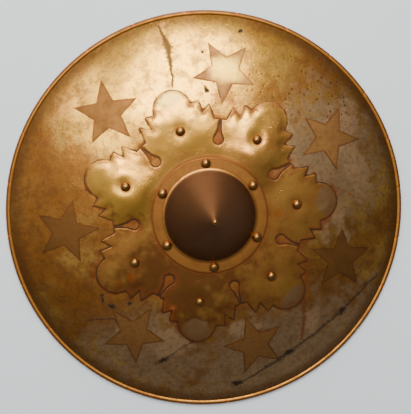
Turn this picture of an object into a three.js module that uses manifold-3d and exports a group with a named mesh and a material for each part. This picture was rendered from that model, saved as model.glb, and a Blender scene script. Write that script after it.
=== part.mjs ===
// A round buckler shield: a domed sheet-metal bowl with a rolled rim, seven inlaid stars, a pierced
// plate with seven lobes, and a spun conical boss, riveted together. It lies on its rim, face up.
// Millimetres, +Z up. The origin is on the shield's axis, at the level of the rim's underside.
import * as THREE from 'three';
import { mergeVertices } from 'three/addons/utils/BufferGeometryUtils.js';
import Module from 'manifold-3d';

const wasm = await Module();
wasm.setup();

// Play between pieces that touch on the real shield
const FIT_GAP = 0.3;

// Bowl: its crown, its outer edge and how its section curves between them
const RIM_RADIUS = 200;
const DOME_RISE = 33.2;
const DOME_POWER = 3.27; // 2 would be a plain dish; more is flatter in the middle and steeper at the edge
const BOWL_SHEET = 1.2;

// Rolled rim, a split tube closed over the edge of the bowl
const BEAD_RADIUS = 3;
const BEAD_WALL = 0.9;
const BEAD_SIDES = 8;

// Rivets
const SHANK_RADIUS = 2;
const HEAD_RADIUS = 4.7;
const HEAD_HEIGHT = 3.6;
const TAIL_RADIUS = 3.5;
const TAIL_HEIGHT = 1.3;

// Boss: a spun cone with a flange
const BOSS_SHEET = 1.2;
const CONE_FOOT_RADIUS = 45;
const CONE_HEIGHT = 45.6;
const CONE_TIP_RADIUS = 2.8;
const CONE_FILLET = 3;
const FLANGE_MARGIN = 0.9; // from a rivet's head to the flange's edge
const BOSS_RIVETS = 6;
const BOSS_RIVET_TURN = 28.16; // degrees from +X to the first rivet
const HAND_HOLE_LEDGE = 3; // how far the bowl reaches in past the foot of the cone

// Ball at the tip of the boss, on a pin that is peened inside
const BALL_RADIUS = 2.9;
const BALL_SEAT_RADIUS = 2;
const PIN_RADIUS = 1.1;
const PIN_TAIL_RADIUS = 1.7;
const PIN_TAIL_HEIGHT = 0.8;

// Lobed plate
const PLATE_SHEET = 0.8;
const LOBES = 7;
const PLATE_RIVET_CIRCLE = 86.6;
const TIP_RADIUS = 18.5;
const TIP_CENTRE = 108.3;
// Two saw teeth below each side of a round tip, as steps across and out from the foot of the tip
const LOBE_TEETH = [[8.7, 0.6], [7.1, -12.1], [17.1, -6.9]];
// Keyhole slot between two lobes, with a short shoulder at each side of its mouth
const SLOT_MOUTH = 93.6;
const SLOT_MOUTH_WIDTH = 3.1;
const SLOT_SHOULDER = 4.6;
const SLOT_NECK = 84;
const SLOT_NECK_WIDTH = 4;
const SLOT_BULB = 74.4;
const SLOT_BULB_RADIUS = 5.6;

// Stars, one in line with each slot, with a point towards the boss
const STAR_SHEET = 0.5;
const STAR_INSET = 59.8; // from the rim's edge in to the middle of a star
const STAR_CIRCLE = RIM_RADIUS - STAR_INSET;
const STAR_RADIUS = 31.2;
const STAR_NOTCH_RADIUS = 13.6;
const STAR_POINTS = 5;

// Grip: a flat iron bar across the hand hole, behind the boss
const GRIP_THICKNESS = 4;
const GRIP_WIDTH = 22;
const GRIP_END_RADIUS = 7.5;
const GRIP_RIVETS = [1, 4]; // the two boss rivets that hold it, counted from 0

// Faceting
const BOWL_STEPS = 56;
const BOWL_BANDS = 7;
const PLATE_STEPS = 35;
const PLATE_BANDS = 4;
const STAR_STEPS = 56;
const STAR_BANDS = 3;
const BOSS_STEPS = 36;
const FILLET_STEPS = 2;
const RIVET_SIDES = 8;
const HEAD_STEPS = 2;
const BALL_STEPS = 4;
const TIP_STEPS = 8;
const BULB_STEPS = 6;
const CURVE_STEPS = 4;
const WELD_DISTANCE = 1e-4;

const MATERIALS = {
  bowl: { color: 0x8f6a3c, roughness: 0.42, metalness: 0.85 },
  rim: { color: 0x9a5f2a, roughness: 0.4, metalness: 0.9 },
  plate: { color: 0xa97a34, roughness: 0.36, metalness: 0.9 },
  star: { color: 0x825a37, roughness: 0.5, metalness: 0.85 },
  flange: { color: 0x6b4530, roughness: 0.45, metalness: 0.85 },
  rivet: { color: 0x9c7a45, roughness: 0.3, metalness: 0.95 },
  iron: { color: 0x4a4039, roughness: 0.65, metalness: 0.8 },
};

const radians = THREE.MathUtils.degToRad;
const PITCH = (2 * Math.PI) / LOBES;

// Heights and radii that follow from the sizes above
const EDGE_RADIUS = RIM_RADIUS - BEAD_RADIUS;
const EDGE_SLOPE = Math.atan((DOME_RISE * DOME_POWER) / EDGE_RADIUS);
const BEAD_MIDDLE = BEAD_RADIUS * Math.cos(Math.PI / BEAD_SIDES);
const EDGE_HEIGHT = BEAD_MIDDLE + BOWL_SHEET / 2 / Math.cos(EDGE_SLOPE);
const PLATE_TOP = FIT_GAP + PLATE_SHEET;
const FLANGE_BASE = PLATE_TOP + FIT_GAP;
const FLANGE_TOP = FLANGE_BASE + BOSS_SHEET;
const HAND_HOLE_RADIUS = CONE_FOOT_RADIUS - HAND_HOLE_LEDGE;
const HOLE_RADIUS = SHANK_RADIUS + FIT_GAP;

// The bowl's outer face, as a height over the floor at each distance from the axis
function domeHeight(radius) {
  return EDGE_HEIGHT + DOME_RISE * (1 - (radius / EDGE_RADIUS) ** DOME_POWER);
}

// How far the bowl's outer face leans outwards at a distance from the axis
function domeLean(radius) {
  return Math.atan((DOME_RISE * DOME_POWER * (radius / EDGE_RADIUS) ** (DOME_POWER - 1)) / EDGE_RADIUS);
}

// A point of a section, lifted off the bowl's outer face at right angles to it
function domePoint(radius, lift) {
  const lean = domeLean(radius);
  return new THREE.Vector2(radius + lift * Math.sin(lean), domeHeight(radius) + lift * Math.cos(lean));
}

// Radii from one to another, closer together where the dome bends more
function domeRadii(from, to, bands) {
  const low = from ** (DOME_POWER / 2);
  const high = to ** (DOME_POWER / 2);
  return Array.from({ length: bands + 1 }, (_, i) => (low + ((high - low) * i) / bands) ** (2 / DOME_POWER));
}

// Merge shared corners and drop the triangles that close up at an axis
function weld(geometry) {
  geometry.deleteAttribute('normal');
  geometry.deleteAttribute('uv');
  const welded = mergeVertices(geometry, WELD_DISTANCE);
  const corners = welded.index.array;
  const kept = [];
  for (let i = 0; i < corners.length; i += 3) {
    const [a, b, c] = corners.slice(i, i + 3);
    if (a !== b && b !== c && c !== a) kept.push(a, b, c);
  }
  welded.setIndex(kept);
  return welded;
}

function toSolid(geometry) {
  const welded = weld(geometry);
  const vertProperties = new Float32Array(welded.attributes.position.array);
  const triVerts = new Uint32Array(welded.index.array);
  return new wasm.Manifold(new wasm.Mesh({ numProp: 3, vertProperties, triVerts }));
}

function fromSolid(solid) {
  const mesh = solid.getMesh();
  const geometry = new THREE.BufferGeometry();
  geometry.setAttribute('position', new THREE.BufferAttribute(new Float32Array(mesh.vertProperties), 3));
  geometry.setIndex(new THREE.BufferAttribute(new Uint32Array(mesh.triVerts), 1));
  geometry.computeVertexNormals();
  return geometry;
}

// Turn a section, given as radius and height with the metal on its left, about the Z axis, with the
// middle of a facet on the Y axis
function spin(section, steps) {
  return new THREE.LatheGeometry(section, steps, Math.PI / steps).rotateX(Math.PI / 2);
}

// A domed ring of sheet metal between two radii and two lifts over the bowl's outer face
function domeSheet(from, to, low, high, bands, steps) {
  const radii = domeRadii(from, to, bands);
  const under = radii.map((radius) => domePoint(radius, low));
  const over = radii.map((radius) => domePoint(radius, high)).reverse();
  return spin([...under, ...over, under[0].clone()], steps);
}

// An upright prism of an outline, tall enough to cut through any sheet of the dome
function prism(shape) {
  const depth = EDGE_HEIGHT + DOME_RISE + FLANGE_TOP;
  return new THREE.ExtrudeGeometry(shape, { depth, bevelEnabled: false });
}

// Where a rivet stands: on the bowl's outer face, square to it
function rivetSeat(circle, angle) {
  const spoke = new THREE.Group();
  spoke.rotation.z = angle;
  const seat = new THREE.Group();
  seat.position.set(circle, 0, domeHeight(circle));
  seat.rotation.y = domeLean(circle);
  spoke.add(seat);
  spoke.updateMatrixWorld(true);
  return { spoke, seat };
}

// A drill at each rivet, long enough for every layer on both sides of the bowl's face
function drills(seats) {
  const reach = 2 * (FLANGE_TOP + BOWL_SHEET + GRIP_THICKNESS);
  return seats.map(({ seat }) => {
    const drill = new THREE.CylinderGeometry(HOLE_RADIUS, HOLE_RADIUS, 2 * reach, RIVET_SIDES);
    drill.rotateX(Math.PI / 2);
    return toSolid(drill.applyMatrix4(seat.matrixWorld));
  });
}

const plateSeats = Array.from({ length: LOBES }, (_, i) => rivetSeat(PLATE_RIVET_CIRCLE, i * PITCH));

// The boss rivets stand just outside the fillet at the foot of the cone
const CONE_LEAN = Math.atan2(CONE_HEIGHT, CONE_FOOT_RADIUS - CONE_TIP_RADIUS);
const FILLET_REACH = CONE_FILLET * Math.tan(CONE_LEAN / 2);
const BOSS_RIVET_CIRCLE = CONE_FOOT_RADIUS + FILLET_REACH + HEAD_RADIUS;
const FLANGE_RADIUS = BOSS_RIVET_CIRCLE + HEAD_RADIUS + FLANGE_MARGIN;
const bossSeats = Array.from({ length: BOSS_RIVETS }, (_, i) =>
  rivetSeat(BOSS_RIVET_CIRCLE, radians(BOSS_RIVET_TURN) + (i * 2 * Math.PI) / BOSS_RIVETS));

function cut(solid, cutters) {
  return cutters.reduce((rest, cutter) => rest.subtract(cutter), solid);
}

function makeBowl() {
  const sheet = toSolid(domeSheet(HAND_HOLE_RADIUS, EDGE_RADIUS, -BOWL_SHEET, 0, BOWL_BANDS, BOWL_STEPS));
  return fromSolid(cut(sheet, drills([...plateSeats, ...bossSeats])));
}

// The rim's section is a letter C, open where the bowl's edge enters it, with a flat land below
function makeBead() {
  const opening = Math.PI - EDGE_SLOPE;
  const slit = BOWL_SHEET / 2 + FIT_GAP;
  const inside = BEAD_RADIUS - BEAD_WALL;
  const point = (radius, angle) =>
    new THREE.Vector2(EDGE_RADIUS + radius * Math.cos(angle), BEAD_MIDDLE + radius * Math.sin(angle));
  const side = (2 * Math.PI) / BEAD_SIDES;
  const outerHalf = Math.asin(slit / BEAD_RADIUS);
  const innerHalf = Math.asin(slit / inside);
  const outerStart = opening + outerHalf;
  const outerEnd = opening + 2 * Math.PI - outerHalf;
  const outer = [point(BEAD_RADIUS, outerStart)];
  const firstCorner = Math.ceil((outerStart - side / 2) / side);
  for (let corner = firstCorner; (corner + 0.5) * side < outerEnd; corner += 1) {
    outer.push(point(BEAD_RADIUS, (corner + 0.5) * side));
  }
  outer.push(point(BEAD_RADIUS, outerEnd));
  const innerSteps = BEAD_SIDES / 2 - 1;
  const inner = Array.from({ length: innerSteps + 1 }, (_, i) => {
    const turn = innerHalf + (i / innerSteps) * (2 * Math.PI - 2 * innerHalf);
    return point(inside, opening + 2 * Math.PI - turn);
  });
  return weld(spin([...outer, ...inner, outer[0].clone()], BOWL_STEPS));
}

// A point across and out along a spoke at an angle
function spokePoint(across, out, angle) {
  return new THREE.Vector2(
    out * Math.cos(angle) - across * Math.sin(angle),
    out * Math.sin(angle) + across * Math.cos(angle),
  );
}

// One side of a lobe, from the foot of its round tip down to the shoulder of the slot
function lobeSide(angle, side) {
  const teeth = LOBE_TEETH.map(([across, out]) =>
    spokePoint(side * (TIP_RADIUS + across), TIP_CENTRE + out, angle));
  const slot = angle + (side * PITCH) / 2;
  const shoulder = spokePoint(-side * (SLOT_MOUTH_WIDTH / 2 + SLOT_SHOULDER), SLOT_MOUTH, slot);
  return [...teeth, shoulder];
}

function lobeTip(angle) {
  return Array.from({ length: TIP_STEPS + 1 }, (_, i) => {
    const turn = -Math.PI / 2 + (Math.PI * i) / TIP_STEPS;
    return spokePoint(TIP_RADIUS * Math.sin(turn), TIP_CENTRE + TIP_RADIUS * Math.cos(turn), angle);
  });
}

// A slot's edge, in at one side, round the bulb and out at the other
function slotEdge(angle) {
  const flare = Math.PI / 4;
  const mouth = SLOT_MOUTH_WIDTH / 2;
  const neck = SLOT_NECK_WIDTH / 2;
  const bulb = Array.from({ length: BULB_STEPS + 1 }, (_, i) => {
    const turn = -flare - ((2 * Math.PI - 2 * flare) * i) / BULB_STEPS;
    const out = SLOT_BULB + SLOT_BULB_RADIUS * Math.cos(turn);
    return spokePoint(SLOT_BULB_RADIUS * Math.sin(turn), out, angle);
  });
  return [
    spokePoint(-mouth, SLOT_MOUTH, angle),
    spokePoint(-neck, SLOT_NECK, angle),
    ...bulb,
    spokePoint(neck, SLOT_NECK, angle),
    spokePoint(mouth, SLOT_MOUTH, angle),
  ];
}

function makePlate() {
  const outline = [];
  for (let i = 0; i < LOBES; i += 1) {
    const angle = i * PITCH;
    outline.push(...lobeSide(angle, -1).reverse(), ...lobeTip(angle), ...lobeSide(angle, 1));
    outline.push(...slotEdge(angle + PITCH / 2));
  }
  const reach = TIP_CENTRE + TIP_RADIUS + FIT_GAP;
  const sheet = toSolid(domeSheet(CONE_FOOT_RADIUS, reach, FIT_GAP, PLATE_TOP, PLATE_BANDS, PLATE_STEPS));
  const lobed = sheet.intersect(toSolid(prism(new THREE.Shape(outline))));
  return fromSolid(cut(lobed, drills([...plateSeats, ...bossSeats])));
}

function makeStar(angle) {
  const corners = Array.from({ length: 2 * STAR_POINTS }, (_, i) => {
    const reach = i % 2 === 0 ? STAR_RADIUS : STAR_NOTCH_RADIUS;
    const turn = Math.PI + (Math.PI * i) / STAR_POINTS;
    return spokePoint(reach * Math.sin(turn), STAR_CIRCLE + reach * Math.cos(turn), angle);
  });
  const near = STAR_CIRCLE - STAR_RADIUS - FIT_GAP;
  const far = STAR_CIRCLE + STAR_RADIUS + FIT_GAP;
  const sheet = toSolid(domeSheet(near, far, FIT_GAP, FIT_GAP + STAR_SHEET, STAR_BANDS, STAR_STEPS));
  return fromSolid(sheet.intersect(toSolid(prism(new THREE.Shape(corners)))));
}

// The boss is one spun piece: flange, fillet, cone and the small flat that carries the ball
const CONE_FOOT_HEIGHT = domeHeight(CONE_FOOT_RADIUS) + FLANGE_TOP;
const CONE_TIP_HEIGHT = CONE_FOOT_HEIGHT + CONE_HEIGHT;
const PIN_HOLE_RADIUS = PIN_RADIUS + FIT_GAP;

function bossFace(depth) {
  const centre = new THREE.Vector2(CONE_FOOT_RADIUS + FILLET_REACH, CONE_FOOT_HEIGHT + CONE_FILLET);
  const radius = CONE_FILLET + depth;
  const fillet = Array.from({ length: FILLET_STEPS + 1 }, (_, i) => {
    const turn = (CONE_LEAN * i) / FILLET_STEPS;
    return new THREE.Vector2(centre.x - radius * Math.sin(turn), centre.y - radius * Math.cos(turn));
  });
  const tip = CONE_TIP_RADIUS - depth * Math.tan(CONE_LEAN / 2);
  return [
    domePoint(FLANGE_RADIUS, FLANGE_TOP - depth),
    ...fillet,
    new THREE.Vector2(tip, CONE_TIP_HEIGHT - depth),
    new THREE.Vector2(PIN_HOLE_RADIUS, CONE_TIP_HEIGHT - depth),
  ];
}

function makeBoss() {
  const over = bossFace(0);
  const under = bossFace(BOSS_SHEET).reverse();
  const spun = toSolid(spin([...over, ...under, over[0].clone()], BOSS_STEPS));
  return fromSolid(cut(spun, drills(bossSeats)));
}

function makeBall() {
  const seat = CONE_TIP_HEIGHT + FIT_GAP;
  const peened = CONE_TIP_HEIGHT - BOSS_SHEET - FIT_GAP;
  const start = Math.asin(BALL_SEAT_RADIUS / BALL_RADIUS);
  const middle = seat + BALL_RADIUS * Math.cos(start);
  const ball = Array.from({ length: BALL_STEPS + 1 }, (_, i) => {
    const turn = start + ((Math.PI - start) * i) / BALL_STEPS;
    const radius = i === BALL_STEPS ? 0 : BALL_RADIUS * Math.sin(turn);
    return new THREE.Vector2(radius, middle - BALL_RADIUS * Math.cos(turn));
  });
  const section = [
    new THREE.Vector2(0, peened - PIN_TAIL_HEIGHT),
    new THREE.Vector2(PIN_TAIL_RADIUS, peened),
    new THREE.Vector2(PIN_RADIUS, peened),
    new THREE.Vector2(PIN_RADIUS, seat),
    ...ball,
  ];
  return weld(spin(section, RIVET_SIDES));
}

// A rivet on its own axis, with 0 at the bowl's outer face
function makeRivet(headSeat, tailSeat) {
  const head = Array.from({ length: HEAD_STEPS + 1 }, (_, i) => {
    const turn = (Math.PI / 2) * (i / HEAD_STEPS);
    const radius = i === HEAD_STEPS ? 0 : HEAD_RADIUS * Math.cos(turn);
    return new THREE.Vector2(radius, headSeat + HEAD_HEIGHT * Math.sin(turn));
  });
  const section = [
    new THREE.Vector2(0, tailSeat - TAIL_HEIGHT),
    new THREE.Vector2(TAIL_RADIUS, tailSeat),
    new THREE.Vector2(SHANK_RADIUS, tailSeat),
    new THREE.Vector2(SHANK_RADIUS, headSeat),
    ...head,
  ];
  return weld(spin(section, RIVET_SIDES));
}

// The grip lies flat against the back of the bowl, at the lowest point that its ends reach
const GRIP_TOP = domePoint(BOSS_RIVET_CIRCLE + GRIP_END_RADIUS, -BOWL_SHEET).y - FIT_GAP;
const GRIP_BASE = GRIP_TOP - GRIP_THICKNESS;

function makeGrip() {
  const half = BOSS_RIVET_CIRCLE;
  const shape = new THREE.Shape();
  shape.moveTo(half, -GRIP_END_RADIUS);
  shape.absarc(half, 0, GRIP_END_RADIUS, -Math.PI / 2, Math.PI / 2, false);
  const swell = GRIP_WIDTH - GRIP_END_RADIUS;
  shape.quadraticCurveTo(0, swell, -half, GRIP_END_RADIUS);
  shape.absarc(-half, 0, GRIP_END_RADIUS, Math.PI / 2, (3 * Math.PI) / 2, false);
  shape.quadraticCurveTo(0, -swell, half, -GRIP_END_RADIUS);
  const bar = new THREE.ExtrudeGeometry(shape, {
    depth: GRIP_THICKNESS,
    bevelEnabled: false,
    curveSegments: CURVE_STEPS,
  });
  bar.rotateZ(bossSeats[GRIP_RIVETS[0]].spoke.rotation.z);
  bar.translate(0, 0, GRIP_BASE);
  return fromSolid(cut(toSolid(bar), drills(GRIP_RIVETS.map((i) => bossSeats[i]))));
}

function addPiece(group, name, geometry, material) {
  const mesh = new THREE.Mesh(geometry, new THREE.MeshStandardMaterial(MATERIALS[material]));
  mesh.name = name;
  group.add(mesh);
}

const shield = new THREE.Group();
addPiece(shield, 'bowl', makeBowl(), 'bowl');
addPiece(shield, 'rim_bead', makeBead(), 'rim');
addPiece(shield, 'lobed_plate', makePlate(), 'plate');
for (let i = 0; i < LOBES; i += 1) {
  addPiece(shield, `star_${i + 1}`, makeStar((i + 0.5) * PITCH), 'star');
}
addPiece(shield, 'boss', makeBoss(), 'flange');
addPiece(shield, 'boss_ball', makeBall(), 'rivet');
addPiece(shield, 'grip', makeGrip(), 'iron');

const BOWL_TAIL = -BOWL_SHEET - FIT_GAP;
const GRIP_TAIL = GRIP_BASE - FIT_GAP - domeHeight(BOSS_RIVET_CIRCLE);
plateSeats.forEach(({ spoke, seat }, i) => {
  addPiece(seat, `plate_rivet_${i + 1}`, makeRivet(PLATE_TOP + FIT_GAP, BOWL_TAIL), 'rivet');
  shield.add(spoke);
});
bossSeats.forEach(({ spoke, seat }, i) => {
  const tail = GRIP_RIVETS.includes(i) ? GRIP_TAIL : BOWL_TAIL;
  addPiece(seat, `boss_rivet_${i + 1}`, makeRivet(FLANGE_TOP + FIT_GAP, tail), 'rivet');
  shield.add(spoke);
});

export default shield;
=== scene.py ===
# %% [markdown]
# # A round buckler shield
#
# The shield is a domed sheet-metal bowl, 40 cm across, with a rolled rim. Seven stars and a plate with
# seven lobes lie on the bowl. A spun conical boss covers the hand hole in the middle, and domed rivets
# hold the layers together. This lesson makes the visible surface of each piece round a fixed model of
# the shield and then gives it its worn finish. Everything is in metres, +Z up, with the shield face up.

# %% Load the fixed model
import math

import bmesh
import bpy
import numpy as np
from mathutils import Matrix, Vector, geometry, noise


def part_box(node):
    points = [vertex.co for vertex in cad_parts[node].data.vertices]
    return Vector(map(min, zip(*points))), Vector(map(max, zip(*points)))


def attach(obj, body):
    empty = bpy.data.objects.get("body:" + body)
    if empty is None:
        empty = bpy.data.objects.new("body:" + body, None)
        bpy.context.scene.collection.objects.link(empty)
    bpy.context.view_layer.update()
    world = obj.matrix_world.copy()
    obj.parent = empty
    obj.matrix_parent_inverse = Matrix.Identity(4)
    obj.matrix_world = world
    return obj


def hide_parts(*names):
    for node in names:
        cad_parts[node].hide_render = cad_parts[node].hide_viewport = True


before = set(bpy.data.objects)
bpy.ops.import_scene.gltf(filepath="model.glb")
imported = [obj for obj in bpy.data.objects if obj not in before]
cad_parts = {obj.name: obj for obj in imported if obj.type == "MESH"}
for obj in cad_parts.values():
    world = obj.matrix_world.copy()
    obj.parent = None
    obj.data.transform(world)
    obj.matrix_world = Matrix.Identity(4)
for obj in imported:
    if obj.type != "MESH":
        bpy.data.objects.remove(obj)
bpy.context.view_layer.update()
scene = bpy.context.scene
MM = 0.001
print("the model has", len(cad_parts), "pieces")

# %% [markdown]
# ## The dome
#
# Every piece follows one curved surface, the outside of the bowl. On the real shield it was raised from
# flat sheet with hammers, so it is nearly flat in the middle and falls away faster towards the rim. A
# formula holds that section: the height drops with a power of the distance from the axis. Its crown and
# its edge are read from the model, so all later pieces lie on the same bowl.

# %% Sizes of the dome
DOME_RISE = 33.2 * MM
DOME_POWER = 3.27


def distances(name):
    """How far each corner of a piece of the model is from the shield's axis."""
    return [math.hypot(v.co.x, v.co.y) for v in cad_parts[name].data.vertices]


BOWL_EDGE = max(distances("bowl"))
HAND_HOLE = min(distances("bowl"))
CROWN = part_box("bowl")[1].z
EDGE_HEIGHT = CROWN - DOME_RISE * (1 - (HAND_HOLE / BOWL_EDGE) ** DOME_POWER)


def dome_height(radius):
    """The height of the bowl's outer face at a distance from the axis."""
    return EDGE_HEIGHT + DOME_RISE * (1 - (radius / BOWL_EDGE) ** DOME_POWER)


def dome_slope(radius):
    """How steeply the bowl's outer face falls at a distance from the axis."""
    return DOME_RISE * DOME_POWER * (radius / BOWL_EDGE) ** (DOME_POWER - 1) / BOWL_EDGE


def off_dome(radius, lift):
    """Radius and height of a point lifted square off the bowl's outer face."""
    lean = math.atan(dome_slope(radius))
    return radius + lift * math.sin(lean), dome_height(radius) + lift * math.cos(lean)


print("crown", round(CROWN / MM, 1), "mm, edge", round(EDGE_HEIGHT / MM, 1), "mm above the floor")

# %% [markdown]
# ## Camera
#
# The picture looks down on the shield from 1.1 m, and the shield's face leans 8.5 degrees from the view,
# so the boss stands a little below the middle of the lobes. A camera matrix can be written down directly:
# its columns are the camera's right, up and back directions and its place. That is exact, where aiming
# by an empty or a constraint would have to be tuned.

# %% Place the camera
VIEW_DISTANCE = 1.1
LEAN = math.radians(8.5)
LEAN_HEADING = math.radians(-51.86)
ROLL = math.radians(6.7386)
AIM_ACROSS = 1.2335 * MM
AIM_UP = -4.3291 * MM
AIM_HEIGHT = 2.77 * MM
PICTURE_HEIGHT = 414
PIXELS_PER_RADIAN = 1094.6
FILM_HEIGHT = 36

lean_axis = Vector((-math.sin(LEAN_HEADING), math.cos(LEAN_HEADING), 0))
to_picture = Matrix.Rotation(LEAN, 3, lean_axis) @ Matrix.Rotation(ROLL, 3, "Z")
from_picture = to_picture.transposed()
camera_data = bpy.data.cameras.new("camera")
camera_data.sensor_fit = "VERTICAL"
camera_data.sensor_height = FILM_HEIGHT
camera_data.lens = PIXELS_PER_RADIAN * FILM_HEIGHT / PICTURE_HEIGHT
camera = bpy.data.objects.new("camera", camera_data)
scene.collection.objects.link(camera)
camera_place = from_picture @ Vector((-AIM_ACROSS, -AIM_UP, VIEW_DISTANCE)) + Vector((0, 0, AIM_HEIGHT))
camera.matrix_world = Matrix.Translation(camera_place) @ from_picture.to_4x4()
scene.camera = camera
print("camera at", [round(x, 3) for x in camera_place], "lens", round(camera_data.lens, 1))

# %% [markdown]
# ## Building node trees
#
# Shapes and finishes both come from node trees, and a few helpers keep the cells short. A value given to
# a socket is either another node's output, which is linked, or a plain number or colour, which is set.

# %% Node helpers
SOCKETS = {
    "number": "NodeSocketFloat",
    "count": "NodeSocketInt",
    "vector": "NodeSocketVector",
    "shape": "NodeSocketGeometry",
    "material": "NodeSocketMaterial",
    "object": "NodeSocketObject",
}
GROUP_NODES = {"ShaderNodeTree": "ShaderNodeGroup", "GeometryNodeTree": "GeometryNodeGroup"}


def put(tree, socket, value):
    """Link a socket to another node's output, or set it to a plain value."""
    if isinstance(value, bpy.types.NodeSocket):
        tree.links.new(value, socket)
    else:
        socket.default_value = value


def add(tree, kind, inputs=(), **settings):
    """Add a node, choose its settings and fill its inputs."""
    made = tree.nodes.new(kind)
    for name, value in settings.items():
        setattr(made, name, value)
    for key, value in dict(inputs).items():
        put(tree, made.inputs[key], value)
    return made


def calc(tree, operation, *values, clamp=False):
    """One step of arithmetic."""
    made = add(tree, "ShaderNodeMath", operation=operation, use_clamp=clamp)
    for socket, value in zip(made.inputs, values):
        put(tree, socket, value)
    return made.outputs[0]


def times(tree, one, other):
    return calc(tree, "MULTIPLY", one, other)


def plus(tree, one, other):
    return calc(tree, "ADD", one, other)


def minus(tree, one, other):
    return calc(tree, "SUBTRACT", one, other)


def diagonal(tree, one, other):
    """The long side over two lengths that are square to each other."""
    return calc(tree, "SQRT", plus(tree, times(tree, one, one), times(tree, other, other)))


def calc_vector(tree, operation, *values, result="Vector"):
    """One step of vector arithmetic."""
    made = add(tree, "ShaderNodeVectorMath", operation=operation)
    for socket, value in zip(made.inputs, values):
        put(tree, socket, value)
    return made.outputs[result]


def scaled(tree, way, factor):
    """A vector made longer or shorter."""
    return add(tree, "ShaderNodeVectorMath", {0: way, "Scale": factor}, operation="SCALE").outputs[0]


def parts_of(tree, place):
    """The three numbers of a vector."""
    return add(tree, "ShaderNodeSeparateXYZ", {"Vector": place}).outputs


def ramp(tree, value, start, end, low=0.0, high=1.0):
    """A smooth step from low to high while the value goes from start to end."""
    inputs = {"Value": value, "From Min": start, "From Max": end, "To Min": low, "To Max": high}
    return add(tree, "ShaderNodeMapRange", inputs, interpolation_type="SMOOTHSTEP").outputs[0]


def new_group(name, kind, inputs, outputs):
    """An empty group with named inputs and outputs, and the two nodes that hold them."""
    group = bpy.data.node_groups.new(name, kind)
    for label, socket, value in inputs:
        made = group.interface.new_socket(label, in_out="INPUT", socket_type=SOCKETS[socket])
        if value is not None:
            made.default_value = value
    for label, socket in outputs:
        group.interface.new_socket(label, in_out="OUTPUT", socket_type=SOCKETS[socket])
    given = group.nodes.new("NodeGroupInput").outputs
    result = group.nodes.new("NodeGroupOutput").inputs
    return group, given, result


def use(tree, group, inputs):
    """Place a group in a tree, fill its inputs and give its one output."""
    return add(tree, GROUP_NODES[tree.bl_idname], inputs, node_tree=group).outputs[0]


print("sockets for", ", ".join(SOCKETS))

# %% [markdown]
# ## From a tree to a plain mesh
#
# A Geometry Nodes tree keeps its sizes as named inputs, so one tree can serve several pieces. The result
# is taken off the evaluated object as an ordinary mesh, which later steps and other programs can read.
# Thickness and rounded edges come from the Solidify and Bevel modifiers, which work on any sheet.

# %% Grow a piece
SHARP_FROM = math.radians(38)


def new_object(name, mesh):
    made = bpy.data.objects.new(name, mesh)
    scene.collection.objects.link(made)
    return made


def plain_piece(name, holder):
    """Keep the evaluated form of an object as a plain mesh and remove the object."""
    evaluated = holder.evaluated_get(bpy.context.evaluated_depsgraph_get())
    mesh = bpy.data.meshes.new_from_object(evaluated)
    mesh.name = name
    mesh.set_sharp_from_angle(angle=SHARP_FROM)
    bpy.data.objects.remove(holder)
    triangles = sum(len(face.vertices) - 2 for face in mesh.polygons)
    print(name, "has", triangles, "triangles")
    return new_object(name, mesh)


def grow(name, tree, sizes, start=None, modifiers=()):
    """Run a Geometry Nodes tree with its sizes, then any modifiers, and keep the mesh."""
    holder = new_object(name + "_holder", start or bpy.data.meshes.new(name + "_start"))
    nodes = holder.modifiers.new("nodes", "NODES")
    nodes.node_group = tree
    for label, value in sizes.items():
        nodes[tree.interface.items_tree[label].identifier] = value
    for kind, settings in modifiers:
        modifier = holder.modifiers.new(kind.lower(), kind)
        for key, value in settings.items():
            setattr(modifier, key, value)
    return plain_piece(name, holder)


def wall(thickness, offset):
    return ("SOLIDIFY", {"thickness": thickness, "offset": offset, "use_even_offset": True})


def soft_edge(width, segments=2):
    return ("BEVEL", {"width": width, "segments": segments, "angle_limit": math.radians(50)})


def end_tree(tree, shape, result, material):
    """Smooth shading, plain geometry and the material close every tree."""
    smooth = add(tree, "GeometryNodeSetShadeSmooth", {"Geometry": shape}).outputs[0]
    real = add(tree, "GeometryNodeRealizeInstances", {"Geometry": smooth}).outputs[0]
    painted = add(tree, "GeometryNodeSetMaterial", {"Geometry": real, "Material": material})
    put(tree, result["Shape"], painted.outputs[0])


def position(tree):
    return add(tree, "GeometryNodeInputPosition").outputs[0]


def wrapped_grid(tree, across, around):
    """A flat grid that will be wrapped round the axis: its mesh, its share across and its turn."""
    grid = add(tree, "GeometryNodeMeshGrid", {"Size X": 1.0, "Size Y": 1.0, "Vertices X": across})
    put(tree, grid.inputs["Vertices Y"], around)
    place = position(tree)
    parts = parts_of(tree, place)
    share = plus(tree, parts["X"], 0.5)
    turn = times(tree, plus(tree, parts["Y"], 0.5), 2 * math.pi)
    return grid.outputs["Mesh"], share, turn


def polar_point(tree, radius, turn, height):
    """A point from its distance from the axis, its turn about it and its height."""
    return add(tree, "ShaderNodeCombineXYZ", {
        "X": times(tree, radius, calc(tree, "COSINE", turn)),
        "Y": times(tree, radius, calc(tree, "SINE", turn)),
        "Z": height,
    }).outputs[0]


def moved(tree, shape, place):
    return add(tree, "GeometryNodeSetPosition", {"Geometry": shape, "Position": place}).outputs[0]


def welded(tree, shape):
    return add(tree, "GeometryNodeMergeByDistance", {"Geometry": shape, "Distance": 0.01 * MM}).outputs[0]


# %% [markdown]
# ## Dents that all layers share
#
# Hammering leaves the sheet slightly uneven, and that is what makes its highlights wander. The uneven
# surface is one small group: it takes a point of a flat pattern and a lift, and gives its place over the
# dome. The bowl, the stars and the plate all use it, so thin sheets stay in touch with the bowl. The
# dents fade out under the boss and at the rim, where other pieces close over the sheet.

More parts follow.
